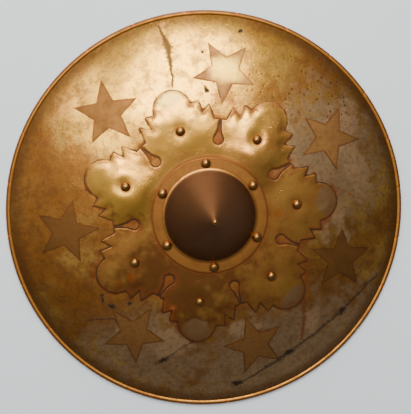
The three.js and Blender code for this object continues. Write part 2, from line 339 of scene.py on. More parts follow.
# %% Group: a flat pattern laid on the hammered dome
DENT_DEPTH = 0.55 * MM
DENT_SIZE = 42 * MM
RIPPLE_DEPTH = 0.10 * MM
RIPPLE_SIZE = 13 * MM
DENTS_FROM = 60 * MM
DENTS_FULL = 100 * MM
DENTS_FADE = 160 * MM
DENTS_END = 192 * MM


def dent_noise(tree, place, size, depth):
    grain = add(tree, "ShaderNodeTexNoise", {"Vector": place, "Scale": 1 / size, "Detail": 0.0})
    return times(tree, minus(tree, grain.outputs[0], 0.5), 2 * depth)


def make_dome_group():
    group, given, result = new_group(
        "laid_on_dome", "GeometryNodeTree",
        [("Flat Place", "vector", None), ("Lift", "number", 0.0)], [("Place", "vector")])
    parts = parts_of(group, given["Flat Place"])
    flat = add(group, "ShaderNodeCombineXYZ", {"X": parts["X"], "Y": parts["Y"]}).outputs[0]
    radius = calc_vector(group, "LENGTH", flat, result="Value")
    share = calc(group, "DIVIDE", radius, BOWL_EDGE)
    drop = times(group, calc(group, "POWER", share, DOME_POWER), DOME_RISE)
    height = minus(group, EDGE_HEIGHT + DOME_RISE, drop)
    slope = times(group, calc(group, "POWER", share, DOME_POWER - 1), dome_slope(BOWL_EDGE))
    outward = calc_vector(group, "NORMALIZE", flat)
    sideways = scaled(group, outward, slope)
    normal = calc_vector(group, "NORMALIZE", calc_vector(group, "ADD", sideways, (0, 0, 1)))
    broad = dent_noise(group, flat, DENT_SIZE, DENT_DEPTH)
    small = dent_noise(group, flat, RIPPLE_SIZE, RIPPLE_DEPTH)
    fading_in = ramp(group, radius, DENTS_FROM, DENTS_FULL)
    fading_out = ramp(group, radius, DENTS_END, DENTS_FADE)
    dents = times(group, plus(group, broad, small), times(group, fading_in, fading_out))
    lift = plus(group, given["Lift"], dents)
    base = add(group, "ShaderNodeCombineXYZ", {"X": parts["X"], "Y": parts["Y"], "Z": height}).outputs[0]
    offset = scaled(group, normal, lift)
    put(group, result["Place"], calc_vector(group, "ADD", base, offset))
    return group


laid_on_dome = make_dome_group()
print("dents up to", DENT_DEPTH / MM, "mm, fading in from", DENTS_FROM / MM, "mm")

# %% [markdown]
# ## Effects that several finishes share
#
# Old metal is never one colour. Clouds of tarnish, small dark pits, fine scratches, single stains and
# strokes are each a shader group with named inputs. A finish places a group as often as it needs, with
# its own sizes. Each group gives only masks, and the finish decides what a mask changes: colour,
# roughness, how metallic the surface still is, or its relief.

# %% Group: clouds of tarnish
def make_clouds():
    group, given, result = new_group(
        "tarnish_clouds", "ShaderNodeTree",
        [("Place", "vector", None), ("Size", "number", 0.03), ("Detail", "number", 5.0),
         ("Start", "number", 0.45), ("End", "number", 0.65), ("Shift", "number", 0.0)],
        [("Mask", "number")])
    shifted = calc_vector(group, "ADD", given["Place"], given["Shift"])
    scale = calc(group, "DIVIDE", 1.0, given["Size"])
    cloud = add(group, "ShaderNodeTexNoise", {"Vector": shifted, "Scale": scale, "Roughness": 0.62})
    put(group, cloud.inputs["Detail"], given["Detail"])
    put(group, result["Mask"], ramp(group, cloud.outputs[0], given["Start"], given["End"]))
    return group


clouds = make_clouds()


# %% Group: dark pits of many sizes
def make_pits():
    group, given, result = new_group(
        "corrosion_pits", "ShaderNodeTree",
        [("Place", "vector", None), ("Spacing", "number", 0.006), ("Share", "number", 0.4)],
        [("Mask", "number")])
    scale = calc(group, "DIVIDE", 1.0, given["Spacing"])
    cells = add(group, "ShaderNodeTexVoronoi", {"Vector": given["Place"], "Scale": scale})
    chance = add(group, "ShaderNodeSeparateColor", {"Color": cells.outputs["Color"]}).outputs[0]
    size = ramp(group, chance, minus(group, 1.0, given["Share"]), 1.0, 0.0, 0.42)
    depth = minus(group, size, cells.outputs["Distance"])
    put(group, result["Mask"], ramp(group, depth, 0.0, 0.16))
    return group


pits = make_pits()


# %% Group: fine scratches along one direction
def make_scratches():
    group, given, result = new_group(
        "fine_scratches", "ShaderNodeTree",
        [("Place", "vector", None), ("Heading", "number", 0.0), ("Size", "number", 0.001),
         ("Amount", "number", 0.3)],
        [("Mask", "number")])
    turned = add(group, "ShaderNodeVectorRotate", {"Vector": given["Place"], "Angle": given["Heading"]})
    long_way = calc_vector(group, "MULTIPLY", turned.outputs[0], (0.03, 1.0, 1.0))
    scale = calc(group, "DIVIDE", 1.0, given["Size"])
    lines = add(group, "ShaderNodeTexNoise", {"Vector": long_way, "Scale": scale, "Detail": 2.0})
    start = minus(group, 0.9, times(group, given["Amount"], 0.5))
    put(group, result["Mask"], ramp(group, lines.outputs[0], start, plus(group, start, 0.12)))
    return group


scratches = make_scratches()


# %% Group: a single stroke between two points
def flattened(tree, place):
    """A place with its height left out, because marks are given as seen from above."""
    return calc_vector(tree, "MULTIPLY", place, (1, 1, 0))


def from_axis(tree, place):
    """How far a place is from the shield's axis, as seen from above."""
    return calc_vector(tree, "LENGTH", flattened(tree, place), result="Value")


def segment_distance(tree, place, start, end):
    """The distance from a line between two points, and how far along it the nearest point lies."""
    line = calc_vector(tree, "SUBTRACT", end, start)
    reach = calc_vector(tree, "SUBTRACT", flattened(tree, place), start)
    along = calc_vector(tree, "DOT_PRODUCT", reach, line, result="Value")
    length = calc_vector(tree, "DOT_PRODUCT", line, line, result="Value")
    share = calc(tree, "DIVIDE", along, length, clamp=True)
    nearest = scaled(tree, line, share)
    return calc_vector(tree, "DISTANCE", reach, nearest, result="Value"), share


def make_stroke():
    group, given, result = new_group(
        "single_stroke", "ShaderNodeTree",
        [("Place", "vector", None), ("Start", "vector", None), ("End", "vector", None),
         ("Start Width", "number", 0.001), ("End Width", "number", 0.001), ("Ragged", "number", 0.5),
         ("Sway", "number", 0.006)],
        [("Mask", "number")])
    sway = add(group, "ShaderNodeTexNoise", {"Vector": given["Place"], "Scale": 70.0, "Detail": 3.0})
    swayed = calc_vector(group, "SUBTRACT", sway.outputs["Color"], (0.5, 0.5, 0.5))
    bent = scaled(group, swayed, given["Sway"])
    bent = calc_vector(group, "ADD", given["Place"], bent)
    distance, share = segment_distance(group, bent, given["Start"], given["End"])
    widths = {"Value": share, "To Min": given["Start Width"], "To Max": given["End Width"]}
    width = add(group, "ShaderNodeMapRange", widths).outputs[0]
    grain = add(group, "ShaderNodeTexNoise", {"Vector": given["Place"], "Scale": 400.0, "Detail": 3.0})
    swing = times(group, minus(group, grain.outputs[0], 0.5), given["Ragged"])
    edge = times(group, width, plus(group, 1.0, times(group, swing, 6.0)))
    put(group, result["Mask"], ramp(group, distance, edge, times(group, edge, 0.2)))
    return group


stroke = make_stroke()


# %% Group: a single stain, round or oval
def make_stain():
    group, given, result = new_group(
        "single_stain", "ShaderNodeTree",
        [("Place", "vector", None), ("Centre", "vector", None), ("Half Width", "vector", (0.01, 0.01, 1.0)),
         ("Heading", "number", 0.0), ("Ragged", "number", 0.4), ("Softness", "number", 0.5),
         ("Grain", "number", 0.011)],
        [("Mask", "number")])
    reach = calc_vector(group, "SUBTRACT", flattened(group, given["Place"]), given["Centre"])
    turned = add(group, "ShaderNodeVectorRotate", {"Vector": reach, "Angle": given["Heading"]}).outputs[0]
    distance = calc_vector(group, "LENGTH", calc_vector(group, "DIVIDE", turned, given["Half Width"]),
                           result="Value")
    scale = calc(group, "DIVIDE", 1.0, given["Grain"])
    grain = add(group, "ShaderNodeTexNoise", {"Vector": given["Place"], "Scale": scale, "Detail": 4.0})
    swing = times(group, minus(group, grain.outputs[0], 0.5), given["Ragged"])
    shaky = plus(group, distance, times(group, swing, 3.0))
    inner = minus(group, 1.0, given["Softness"])
    put(group, result["Mask"], ramp(group, shaky, plus(group, 1.0, given["Softness"]), inner))
    return group


stain = make_stain()


# %% Group: a ring of equal spots round the axis
def make_spot_ring():
    group, given, result = new_group(
        "ring_of_spots", "ShaderNodeTree",
        [("Place", "vector", None), ("Count", "number", 7.0), ("First Turn", "number", 0.0),
         ("Circle", "number", 0.1), ("Inner", "number", 0.004), ("Outer", "number", 0.008)],
        [("Mask", "number")])
    parts = parts_of(group, given["Place"])
    turn = minus(group, calc(group, "ARCTAN2", parts["Y"], parts["X"]), given["First Turn"])
    pitch = calc(group, "DIVIDE", 2 * math.pi, given["Count"])
    steps = calc(group, "ROUND", calc(group, "DIVIDE", turn, pitch))
    rest = minus(group, turn, times(group, steps, pitch))
    radius = from_axis(group, given["Place"])
    side = times(group, radius, calc(group, "SINE", rest))
    ahead = times(group, radius, calc(group, "COSINE", rest))
    out = minus(group, ahead, given["Circle"])
    distance = diagonal(group, side, out)
    put(group, result["Mask"], ramp(group, distance, given["Outer"], given["Inner"]))
    return group


spot_ring = make_spot_ring()


# %% Group: how far it is to the edge of the nearest star
def make_star_ring():
    group, given, result = new_group(
        "ring_of_stars", "ShaderNodeTree",
        [("Place", "vector", None), ("Count", "number", 7.0), ("Circle", "number", 0.14),
         ("Tip Radius", "number", 0.03), ("Notch Radius", "number", 0.013)],
        [("Gap", "number")])
    parts = parts_of(group, given["Place"])
    pitch = calc(group, "DIVIDE", 2 * math.pi, given["Count"])
    steps = calc(group, "DIVIDE", calc(group, "ARCTAN2", parts["Y"], parts["X"]), pitch)
    rest = times(group, minus(group, calc(group, "FRACT", steps), 0.5), pitch)
    radius = from_axis(group, given["Place"])
    side = times(group, radius, calc(group, "SINE", rest))
    inward = minus(group, given["Circle"], times(group, radius, calc(group, "COSINE", rest)))
    reach = diagonal(group, side, inward)
    turns = calc(group, "DIVIDE", calc(group, "ARCTAN2", side, inward), 2 * math.pi / STAR_POINTS)
    fold = calc(group, "ABSOLUTE", minus(group, turns, calc(group, "ROUND", turns)))
    angle = times(group, fold, 2 * math.pi / STAR_POINTS)
    along = minus(group, times(group, reach, calc(group, "COSINE", angle)),
                 given["Tip Radius"])
    aside = times(group, reach, calc(group, "SINE", angle))
    rise = times(group, given["Notch Radius"], math.sin(math.pi / STAR_POINTS))
    run = minus(group, given["Tip Radius"],
               times(group, given["Notch Radius"], math.cos(math.pi / STAR_POINTS)))
    length = diagonal(group, rise, run)
    area = plus(group, times(group, along, rise), times(group, aside, run))
    put(group, result["Gap"], calc(group, "DIVIDE", area, length))
    return group


STAR_POINTS = 5
star_ring = make_star_ring()
print("effects:", ", ".join(g.name for g in bpy.data.node_groups))

# %% [markdown]
# ## Mixing a finish
#
# A finish starts from the clean metal and lays masks over it, one after another, the way the wear came:
# tarnish first, then rust and stains, then rubbed places. The last step plugs colour, metal, roughness
# and relief into one metal shader.

# %% Finish helpers
MIX_UNDER = 6
MIX_OVER = 7
MIX_RESULT = 2


def paint(tree, mask, under, over, strength=1.0):
    """Lay one colour over another where the mask says, as strongly as asked."""
    share = mask if strength == 1.0 else times(tree, mask, strength)
    made = add(tree, "ShaderNodeMix", {"Factor": share}, data_type="RGBA")
    put(tree, made.inputs[MIX_UNDER], under)
    put(tree, made.inputs[MIX_OVER], over)
    return made.outputs[MIX_RESULT]


def fade(tree, mask, under, over):
    """The same for a plain number such as roughness."""
    return add(tree, "ShaderNodeMapRange", {"Value": mask, "To Min": under, "To Max": over}).outputs[0]


def start_finish(name):
    material = bpy.data.materials.new(name)
    material.use_nodes = True
    tree = material.node_tree
    return material, tree, add(tree, "ShaderNodeTexCoord").outputs["Object"]


def end_finish(tree, colour, roughness, metallic=1.0, height=None, relief=1 * MM):
    """Plug a finish into its metal shader. The height is in units of the relief."""
    shader = tree.nodes["Principled BSDF"]
    put(tree, shader.inputs["Base Color"], colour)
    put(tree, shader.inputs["Roughness"], roughness)
    put(tree, shader.inputs["Metallic"], metallic)
    if height is not None:
        bump = add(tree, "ShaderNodeBump", {"Height": height, "Distance": relief})
        put(tree, shader.inputs["Normal"], bump.outputs["Normal"])


def largest(tree, masks):
    """Several masks as one."""
    total = masks[0]
    for mask in masks[1:]:
        total = calc(tree, "MAXIMUM", total, mask)
    return total


def colour(red, green, blue):
    return (red, green, blue, 1.0)


BRASS = colour(0.50, 0.20, 0.04)
PALE_BRASS = colour(0.80, 0.44, 0.10)
GOLDEN_BRASS = colour(0.80, 0.43, 0.05)
CRACK_BROWN = colour(0.105, 0.050, 0.026)
AMBER_BROWN = colour(0.48, 0.175, 0.034)
# This dark brown is real tarnish in most places, and painted shade beside the rim and round the boss
# rivets.
TARNISH_AND_SHADE = colour(0.20, 0.080, 0.026)
WORN_STEEL = colour(0.62, 0.39, 0.20)
PALE_STEEL = colour(0.85, 0.50, 0.24)
RUST = colour(0.20, 0.056, 0.017)
# This near-black is real soot and dirt, and painted shade along the plate's edge and inside the rolled rim.
SOOT_AND_SHADE = colour(0.06, 0.040, 0.026)
COPPER_RED = colour(0.60, 0.13, 0.025)
print("clean brass reflects", BRASS[:3])

# %% [markdown]
# ## The bowl's finish
#
# The bowl is golden brass where it is well kept, at the top and the upper left, amber at the left, and
# worn grey with brown staining towards the lower right. Rust has crept out from under the plate, so a
# brown border follows the plate's outline. The bowl carries the distance to that outline as an attribute,
# because no noise texture could follow it. Single marks, such as the crack at the top, the dark lines at
# the lower right and the pale patches, are listed by place as seen from above, in millimetres.

# %% Marks on the bowl
LOBES = 7
STAR_CIRCLE = 140.2 * MM
STAR_RADIUS = 31.2 * MM
STAR_NOTCH = 13.6 * MM
STARS = {
    "Count": float(LOBES), "Circle": STAR_CIRCLE, "Tip Radius": STAR_RADIUS,
    "Notch Radius": STAR_NOTCH}
PALE_PATCHES = [
    ((-50, -121), (21, 17), 10), ((23, -117), (17, 8), 0), ((91, -119), (8, 13), 0),
    ((129, -26), (6, 22), 12), ((153, 24), (13, 30), 12), ((-96, -106), (14, 8), 40),
    ((142, 68), (20, 24), -20), ((106, -8), (8, 30), 10),
]
GOLDEN_PATCHES = [((0, 150), (80, 50), 0), ((-75, 108), (48, 42), 45)]
AMBER_PATCHES = [((-128, -62), (50, 30), -25), ((-135, 62), (52, 24), -26), ((-165, 25), (28, 75), 0)]
SOOT_STROKES = [
    ((165, -85), (124, -116), 2.0, 2.2),
    ((124, -116), (96, -134), 2.2, 2.6),
    ((96, -134), (62, -154), 2.8, 3.0),
    ((62, -154), (12, -178), 3.0, 2.0),
    ((-135, -90), (-105, -92), 0.5, 1.3),
    ((-105, -92), (-101, -102), 1.5, 0.7),
    ((-30, -124), (-62, -141), 1.6, 1.0),
]
SOOT_SPOTS = [
    ((124, -116), (4.5, 3.6), 40), ((66, -151), (5, 3), 20), ((10, -177), (7, 3), 10),
    ((-114, -70), (2, 6), 0), ((-105, -79), (2.6, 4), 30), ((-88, -78), (1.6, 2), 0),
    ((52, 174), (2.2, 2), 0), ((12, 158), (1.3, 1.3), 0), ((11, 122), (2, 3.4), 30),
    ((-62, -141), (7, 2.5), 20), ((110, -176), (3, 2), 0),
]
CRACK_STROKES = [
    ((-26.4, 188.4), (-22.5, 176), 1.0, 4.5),
    ((-22.5, 176), (-20.7, 163.8), 4.5, 6.2),
    ((-20.7, 163.8), (-20.2, 147.4), 6.2, 2.2),
    ((-20.2, 147.4), (-21.6, 127), 2.2, 1.2),
]
RUST_STROKES = [
    ((89, -65), (84, -105), 10.0, 4.5),
    ((84, -105), (80, -140), 4.5, 1.6),
    ((-129, 22), (-116, 12), 0.5, 0.4),
    ((120, 14), (158, -6), 1.8, 0.5),
]


def point(place):
    """A place given in millimetres as seen from above."""
    return (place[0] * MM, place[1] * MM, 0.0)


def stroked(tree, place, strokes, ragged):
    """All strokes of a list as one mask."""
    return largest(tree, [use(tree, stroke, {
        "Place": place, "Start": point(start), "End": point(end), "Start Width": first * MM,
        "End Width": last * MM, "Ragged": ragged}) for start, end, first, last in strokes])


def stained(tree, place, stains, ragged, softness, grain=11 * MM):
    """All stains of a list as one mask."""
    return largest(tree, [use(tree, stain, {
        "Place": place, "Centre": point(centre), "Half Width": (half[0] * MM, half[1] * MM, 1.0),
        "Heading": math.radians(-heading), "Ragged": ragged, "Softness": softness, "Grain": grain})
        for centre, half, heading in stains])


def scratched(tree, place, headings, size, amount):
    """Fine scratches along several directions as one mask."""
    return largest(tree, [use(tree, scratches, {
        "Place": place, "Heading": math.radians(heading), "Size": size, "Amount": amount})
        for heading in headings])


print(len(SOOT_STROKES) + len(SOOT_SPOTS), "dark marks and", len(RUST_STROKES), "rusty ones")


# %% Finish: the bowl
STEEL_STAINS = [((120, 40), (55, 60), -20), ((60, -150), (120, 45), 15), ((-75, -130), (60, 40), -30)]
PIT_FIELD = [((118, 102), (52, 30), -30), ((40, 120), (40, 25), 0)]
RUST_REACH = 9 * MM
SLOTS_END = 102 * MM
SLOTS_DEEP = 94 * MM
DAMP_FROM = 75 * MM
DAMP_FULL = -15 * MM


def make_bowl_finish():
    material, tree, place = start_finish("worn_bowl")
    fine = use(tree, clouds, {"Place": place, "Size": 0.012, "Start": 0.42, "End": 0.68})
    wide = use(tree, clouds, {"Place": place, "Size": 0.06, "Start": 0.38, "End": 0.66, "Shift": 3.0})
    steel = stained(tree, place, STEEL_STAINS, 0.8, 0.55)
    look = paint(tree, wide, BRASS, PALE_BRASS)
    look = paint(tree, steel, look, WORN_STEEL, 0.85)
    golden = stained(tree, place, GOLDEN_PATCHES, 0.5, 0.5)
    look = paint(tree, golden, look, GOLDEN_BRASS, 0.8)
    amber = stained(tree, place, AMBER_PATCHES, 0.8, 0.5)
    look = paint(tree, amber, look, AMBER_BROWN, 0.75)
    pale = stained(tree, place, PALE_PATCHES, 0.6, 0.35)
    look = paint(tree, pale, look, PALE_STEEL, 0.8)
    kept = largest(tree, [pale, times(tree, steel, 0.6)])
    look = paint(tree, times(tree, fine, fade(tree, kept, 0.65, 0.25)), look, TARNISH_AND_SHADE)
    grain = use(tree, clouds, {"Place": place, "Size": 0.004, "Start": 0.46, "End": 0.68})
    look = paint(tree, grain, look, TARNISH_AND_SHADE, 0.35)
    radius = from_axis(tree, place)
    # Painted shade: a dark band on the bowl just inside the rim, where the rolled rim shades it.
    rim_shade_band = ramp(tree, radius, BOWL_EDGE - 16 * MM, BOWL_EDGE - 5 * MM, 0.0, 0.65)
    look = paint(tree, rim_shade_band, look, TARNISH_AND_SHADE)
    gap = add(tree, "ShaderNodeAttribute", attribute_name="plate_gap").outputs["Fac"]
    star_gap = use(tree, star_ring, {"Place": place, **STARS})
    parts = parts_of(tree, place)
    in_slots = ramp(tree, radius, SLOTS_END, SLOTS_DEEP)
    damp = largest(tree, [ramp(tree, parts["Y"], DAMP_FROM, DAMP_FULL, 0.18, 1.0), in_slots])
    reach = times(tree, damp, fade(tree, wide, RUST_REACH * 0.4, RUST_REACH))
    ragged = minus(tree, gap, times(tree, minus(tree, fine, 0.4), 3 * MM))
    border = ramp(tree, ragged, reach, times(tree, reach, 0.2))
    rust_marks = stroked(tree, place, RUST_STROKES, 0.5)
    rust = largest(tree, [times(tree, border, 0.9), times(tree, rust_marks, 0.85),
                          times(tree, in_slots, 0.75)])
    look = paint(tree, rust, look, RUST)
    crack = stroked(tree, place, CRACK_STROKES, 0.45)
    look = paint(tree, crack, look, CRACK_BROWN, 0.85)
    field = stained(tree, place, PIT_FIELD, 0.6, 0.5)
    dots = use(tree, pits, {"Place": place, "Spacing": 0.0040, "Share": 0.9})
    small_dots = use(tree, pits, {"Place": place, "Spacing": 0.0026, "Share": 0.4})
    pitted = largest(tree, [times(tree, dots, field), times(tree, small_dots, 0.5)])
    look = paint(tree, pitted, look, RUST, 0.8)
    patchy = use(tree, clouds, {"Place": place, "Size": 0.009, "Start": 0.36, "End": 0.6, "Shift": 5.0})
    # The dark line along the plate's edge is partly grime in the joint and partly painted shade under the
    # raised plate; the thin line round the stars is grime in their joints.
    joint_grime_and_shade = [times(tree, ramp(tree, gap, 1.9 * MM, 0.6 * MM), fade(tree, patchy, 0.45, 1.0)),
             times(tree, ramp(tree, star_gap, 1.0 * MM, 0.3 * MM), fade(tree, patchy, 0.35, 0.85))]
    soot_lines = stroked(tree, place, SOOT_STROKES, 0.6)
    spots = stained(tree, place, SOOT_SPOTS, 1.0, 0.5, 4 * MM)
    dark_marks_and_shade = largest(tree, [times(tree, soot_lines, 0.8), spots] + joint_grime_and_shade)
    look = paint(tree, dark_marks_and_shade, look, SOOT_AND_SHADE)
    lines = scratched(tree, place, (20, 75, 130), 0.0011, 0.42)
    dull = largest(tree, [rust, dark_marks_and_shade, crack, times(tree, fine, 0.35)])
    roughness = fade(tree, dull, 0.22, 0.6)
    height = minus(tree, times(tree, fine, 0.05), times(tree, pitted, 0.05))
    height = minus(tree, height, times(tree, lines, 0.03))
    end_finish(tree, look, roughness, height=height)
    return material


worn_bowl = make_bowl_finish()
print("bowl finish has", len(worn_bowl.node_tree.nodes), "nodes")


# %% [markdown]
# ## The other finishes
#
# The rolled rim is rubbed gold on its inner half and browner outside, with a copper-red spot at each
# of the places where the roll was set down, and painted shade along its inner side against the bowl. The
# plate is better brass than the bowl, with brown borders, painted shade beside the boss and over its lower
# left, and dark rings round its rivets that are partly grime and partly painted shade. Its grey tips, its
# torn tooth and the buckles beside two rivets are placed one by one, the buckles as relief in the finish.
# The stars are duller and browner, with a painted reflection on one of them. The boss was turned on a
# lathe, so fine lines run round it, and it has gone dark bronze except on the flange, with rings of grime
# and painted shade round its rivets.

# %% Finish: the rolled rim
RIM_SETS = 24
BEAD_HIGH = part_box("rim_bead")[1]
BEAD_TUBE = BEAD_HIGH.z / 2
BEAD_CIRCLE = BEAD_HIGH.x - BEAD_TUBE
RIM_BROWN = colour(0.27, 0.098, 0.025)
RIM_GOLD = colour(0.50, 0.21, 0.040)


def make_rim_finish():
    material, tree, place = start_finish("rubbed_rim")
    radius = from_axis(tree, place)
    outside = ramp(tree, radius, BEAD_CIRCLE - 0.2 * MM, BEAD_CIRCLE + 1.0 * MM)
    cloud = use(tree, clouds, {"Place": place, "Size": 0.015, "Start": 0.4, "End": 0.7})
    look = paint(tree, outside, RIM_GOLD, RIM_BROWN)
    look = paint(tree, cloud, look, TARNISH_AND_SHADE, 0.45)
    sets = use(tree, spot_ring, {
        "Place": place, "Count": float(RIM_SETS), "Circle": BEAD_CIRCLE + 1.3 * MM, "Inner": 0.7 * MM,
        "Outer": 1.9 * MM})
    look = paint(tree, sets, look, COPPER_RED, 0.9)
    # Painted shade on the inner side of the roll, where it turns in against the bowl.
    crevice_shade = ramp(tree, radius, BEAD_CIRCLE - 2.4 * MM, BEAD_CIRCLE - 2.9 * MM)
    look = paint(tree, crevice_shade, look, SOOT_AND_SHADE)
    end_finish(tree, look, fade(tree, cloud, 0.42, 0.58), height=times(tree, cloud, 0.08))
    return material


rubbed_rim = make_rim_finish()

# %% Finish: the lobed plate
PLATE_RIVET_CIRCLE = 86.6 * MM
PLATE_BRASS = colour(0.58, 0.25, 0.055)
RUBBED_BRASS = colour(0.74, 0.40, 0.08)
# This brown is real grime in the plate's borders and round its rivets, and painted shade beside the boss,
# round the rivets and over the lower left.
PLATE_GRIME_AND_SHADE = colour(0.20, 0.060, 0.019)
SILVERED = colour(0.42, 0.29, 0.07)
TIP_GREY = colour(0.50, 0.28, 0.12)


def tip_stain(lobe, out, reach):
    """A stain over the tip of one lobe."""
    turn = 2 * math.pi * lobe / LOBES
    return ((out * math.cos(turn), out * math.sin(turn)), (reach, 16), math.degrees(turn))


SILVERED_TIPS = [tip_stain(2, 125, 13)]
GREY_TIPS = [tip_stain(0, 121, 15), tip_stain(5, 121, 16), tip_stain(6, 119, 8)]
PLATE_GOLD = [((-15, 90), (75, 30), 0), ((-85, 35), (35, 35), 0)]
PLATE_SHADE = [((-35, -62), (75, 48), 25)]
BUCKLES = [((49, 48), (18, 18), 0), ((-75, 28), (18, 18), 0)]
BUCKLE_HEIGHT = 2.8
PLATE_DAMP_FROM = 70 * MM
PLATE_DAMP_FULL = -20 * MM
TORN_TOOTH = [((-46, -89), (8, 10), 25)]
ORANGE_SPOTS = [((-96, -55), (4, 4), 0), ((-83, -51), (4.6, 4.6), 0), ((66, -6), (5, 5), 0)]


def make_plate_finish():
    material, tree, place = start_finish("rubbed_plate")
    fine = use(tree, clouds, {"Place": place, "Size": 0.010, "Start": 0.45, "End": 0.72})
    wide = use(tree, clouds, {"Place": place, "Size": 0.045, "Start": 0.4, "End": 0.65, "Shift": 7.0})
    look = paint(tree, wide, PLATE_BRASS, RUBBED_BRASS, 0.6)
    golden = stained(tree, place, PLATE_GOLD, 0.4, 0.5)
    look = paint(tree, golden, look, GOLDEN_BRASS, 0.5)
    # Painted shade: the plate's lower left is darkened, where it faces away from the light.
    shade = stained(tree, place, PLATE_SHADE, 0.7, 0.5)
    look = paint(tree, shade, look, PLATE_GRIME_AND_SHADE, 0.75)
    look = paint(tree, fine, look, TARNISH_AND_SHADE, 0.5)
    for tips, tint in ((SILVERED_TIPS, SILVERED), (GREY_TIPS, TIP_GREY)):
        mask = stained(tree, place, tips, 0.25, 0.10)
        look = paint(tree, mask, look, tint, 0.8)
    edge = add(tree, "ShaderNodeAttribute", attribute_name="plate_gap").outputs["Fac"]
    parts = parts_of(tree, place)
    damp = ramp(tree, parts["Y"], PLATE_DAMP_FROM, PLATE_DAMP_FULL, 0.4, 1.0)
    reach = times(tree, damp, 9 * MM)
    ragged = minus(tree, edge, times(tree, fine, 4 * MM))
    border = times(tree, ramp(tree, ragged, reach, 0.2 * MM), fade(tree, wide, 0.35, 0.9))
    # Dark rings round the plate's rivets: partly grime, partly painted shade round the heads.
    rings = use(tree, spot_ring, {
        "Place": place, "Count": float(LOBES), "Circle": PLATE_RIVET_CIRCLE, "Inner": 4.8 * MM,
        "Outer": 7.5 * MM})
    radius = from_axis(tree, place)
    # Painted shade on the plate along the edge of the boss flange.
    shade_by_boss = ramp(tree, radius, 62 * MM, 57 * MM, 0.0, 0.8)
    grime_and_shade = largest(tree, [border, shade_by_boss, times(tree, rings, 0.75)])
    look = paint(tree, grime_and_shade, look, PLATE_GRIME_AND_SHADE)
    orange = stained(tree, place, ORANGE_SPOTS, 0.3, 0.3)
    look = paint(tree, orange, look, COPPER_RED, 0.45)
    torn = stained(tree, place, TORN_TOOTH, 0.4, 0.4, 4 * MM)
    torn_edge = times(tree, torn, ramp(tree, edge, 2.5 * MM, 0.8 * MM, 0.1, 0.5))
    look = paint(tree, torn_edge, look, COPPER_RED)
    lines = scratched(tree, place, (40, 100, 160), 0.0008, 0.4)
    roughness = fade(tree, largest(tree, [grime_and_shade, times(tree, fine, 0.5)]), 0.2, 0.5)
    height = minus(tree, times(tree, fine, 0.04), times(tree, lines, 0.03))
    buckles = stained(tree, place, BUCKLES, 0.0, 1.0)
    height = plus(tree, height, times(tree, buckles, BUCKLE_HEIGHT))
    end_finish(tree, look, roughness, height=height)
    return material


rubbed_plate = make_plate_finish()

# %% Finish: the stars
STAR_BROWN = colour(0.36, 0.175, 0.055)
STAR_DARK = colour(0.17, 0.072, 0.018)
STAR_PAINTED_SHEEN = colour(0.70, 0.42, 0.06)
PAINTED_SHEEN_SPOTS = [((34, 138), (17, 11), -15)]
DULL_SPOTS = [((-88, 108), (40, 40), 0), ((-140, 0), (36, 36), 0), ((126, -61), (36, 36), 0)]


def make_star_finish():
    material, tree, place = start_finish("dull_stars")
    cloud = use(tree, clouds, {"Place": place, "Size": 0.014, "Start": 0.4, "End": 0.75})
    look = paint(tree, cloud, STAR_BROWN, TARNISH_AND_SHADE, 0.7)
    grain = use(tree, clouds, {"Place": place, "Size": 0.004, "Start": 0.46, "End": 0.68})
    look = paint(tree, grain, look, TARNISH_AND_SHADE, 0.45)
    dull_star = stained(tree, place, DULL_SPOTS, 0.2, 0.3)
    look = paint(tree, dull_star, look, STAR_DARK, 0.7)
    # Painted reflection: a brighter, glossier patch on one star, where a bright reflection falls on it.
    painted_sheen = stained(tree, place, PAINTED_SHEEN_SPOTS, 0.4, 0.6)
    look = paint(tree, painted_sheen, look, STAR_PAINTED_SHEEN)
    gap = use(tree, star_ring, {"Place": place, **STARS})
    look = paint(tree, ramp(tree, gap, -1.8 * MM, -0.2 * MM, 0.0, 0.6), look, RUST)
    lines = use(tree, scratches, {"Place": place, "Heading": 0.5, "Size": 0.0009, "Amount": 0.45})
    dull = minus(tree, fade(tree, cloud, 0.46, 0.60), times(tree, painted_sheen, 0.22))
    end_finish(tree, look, dull, height=times(tree, lines, -0.02))
    return material


dull_stars = make_star_finish()

# %% Finish: the turned boss
CONE_FOOT = 45 * MM
BOSS_RIVETS = 6
BOSS_RIVET_TURN = math.radians(28.16)
BOSS_RIVET_CIRCLE = 51 * MM
FLANGE_EDGE = BOSS_RIVET_CIRCLE + 5.55 * MM
BRONZE = colour(0.125, 0.054, 0.023)
FLANGE_BRASS = colour(0.55, 0.225, 0.050)


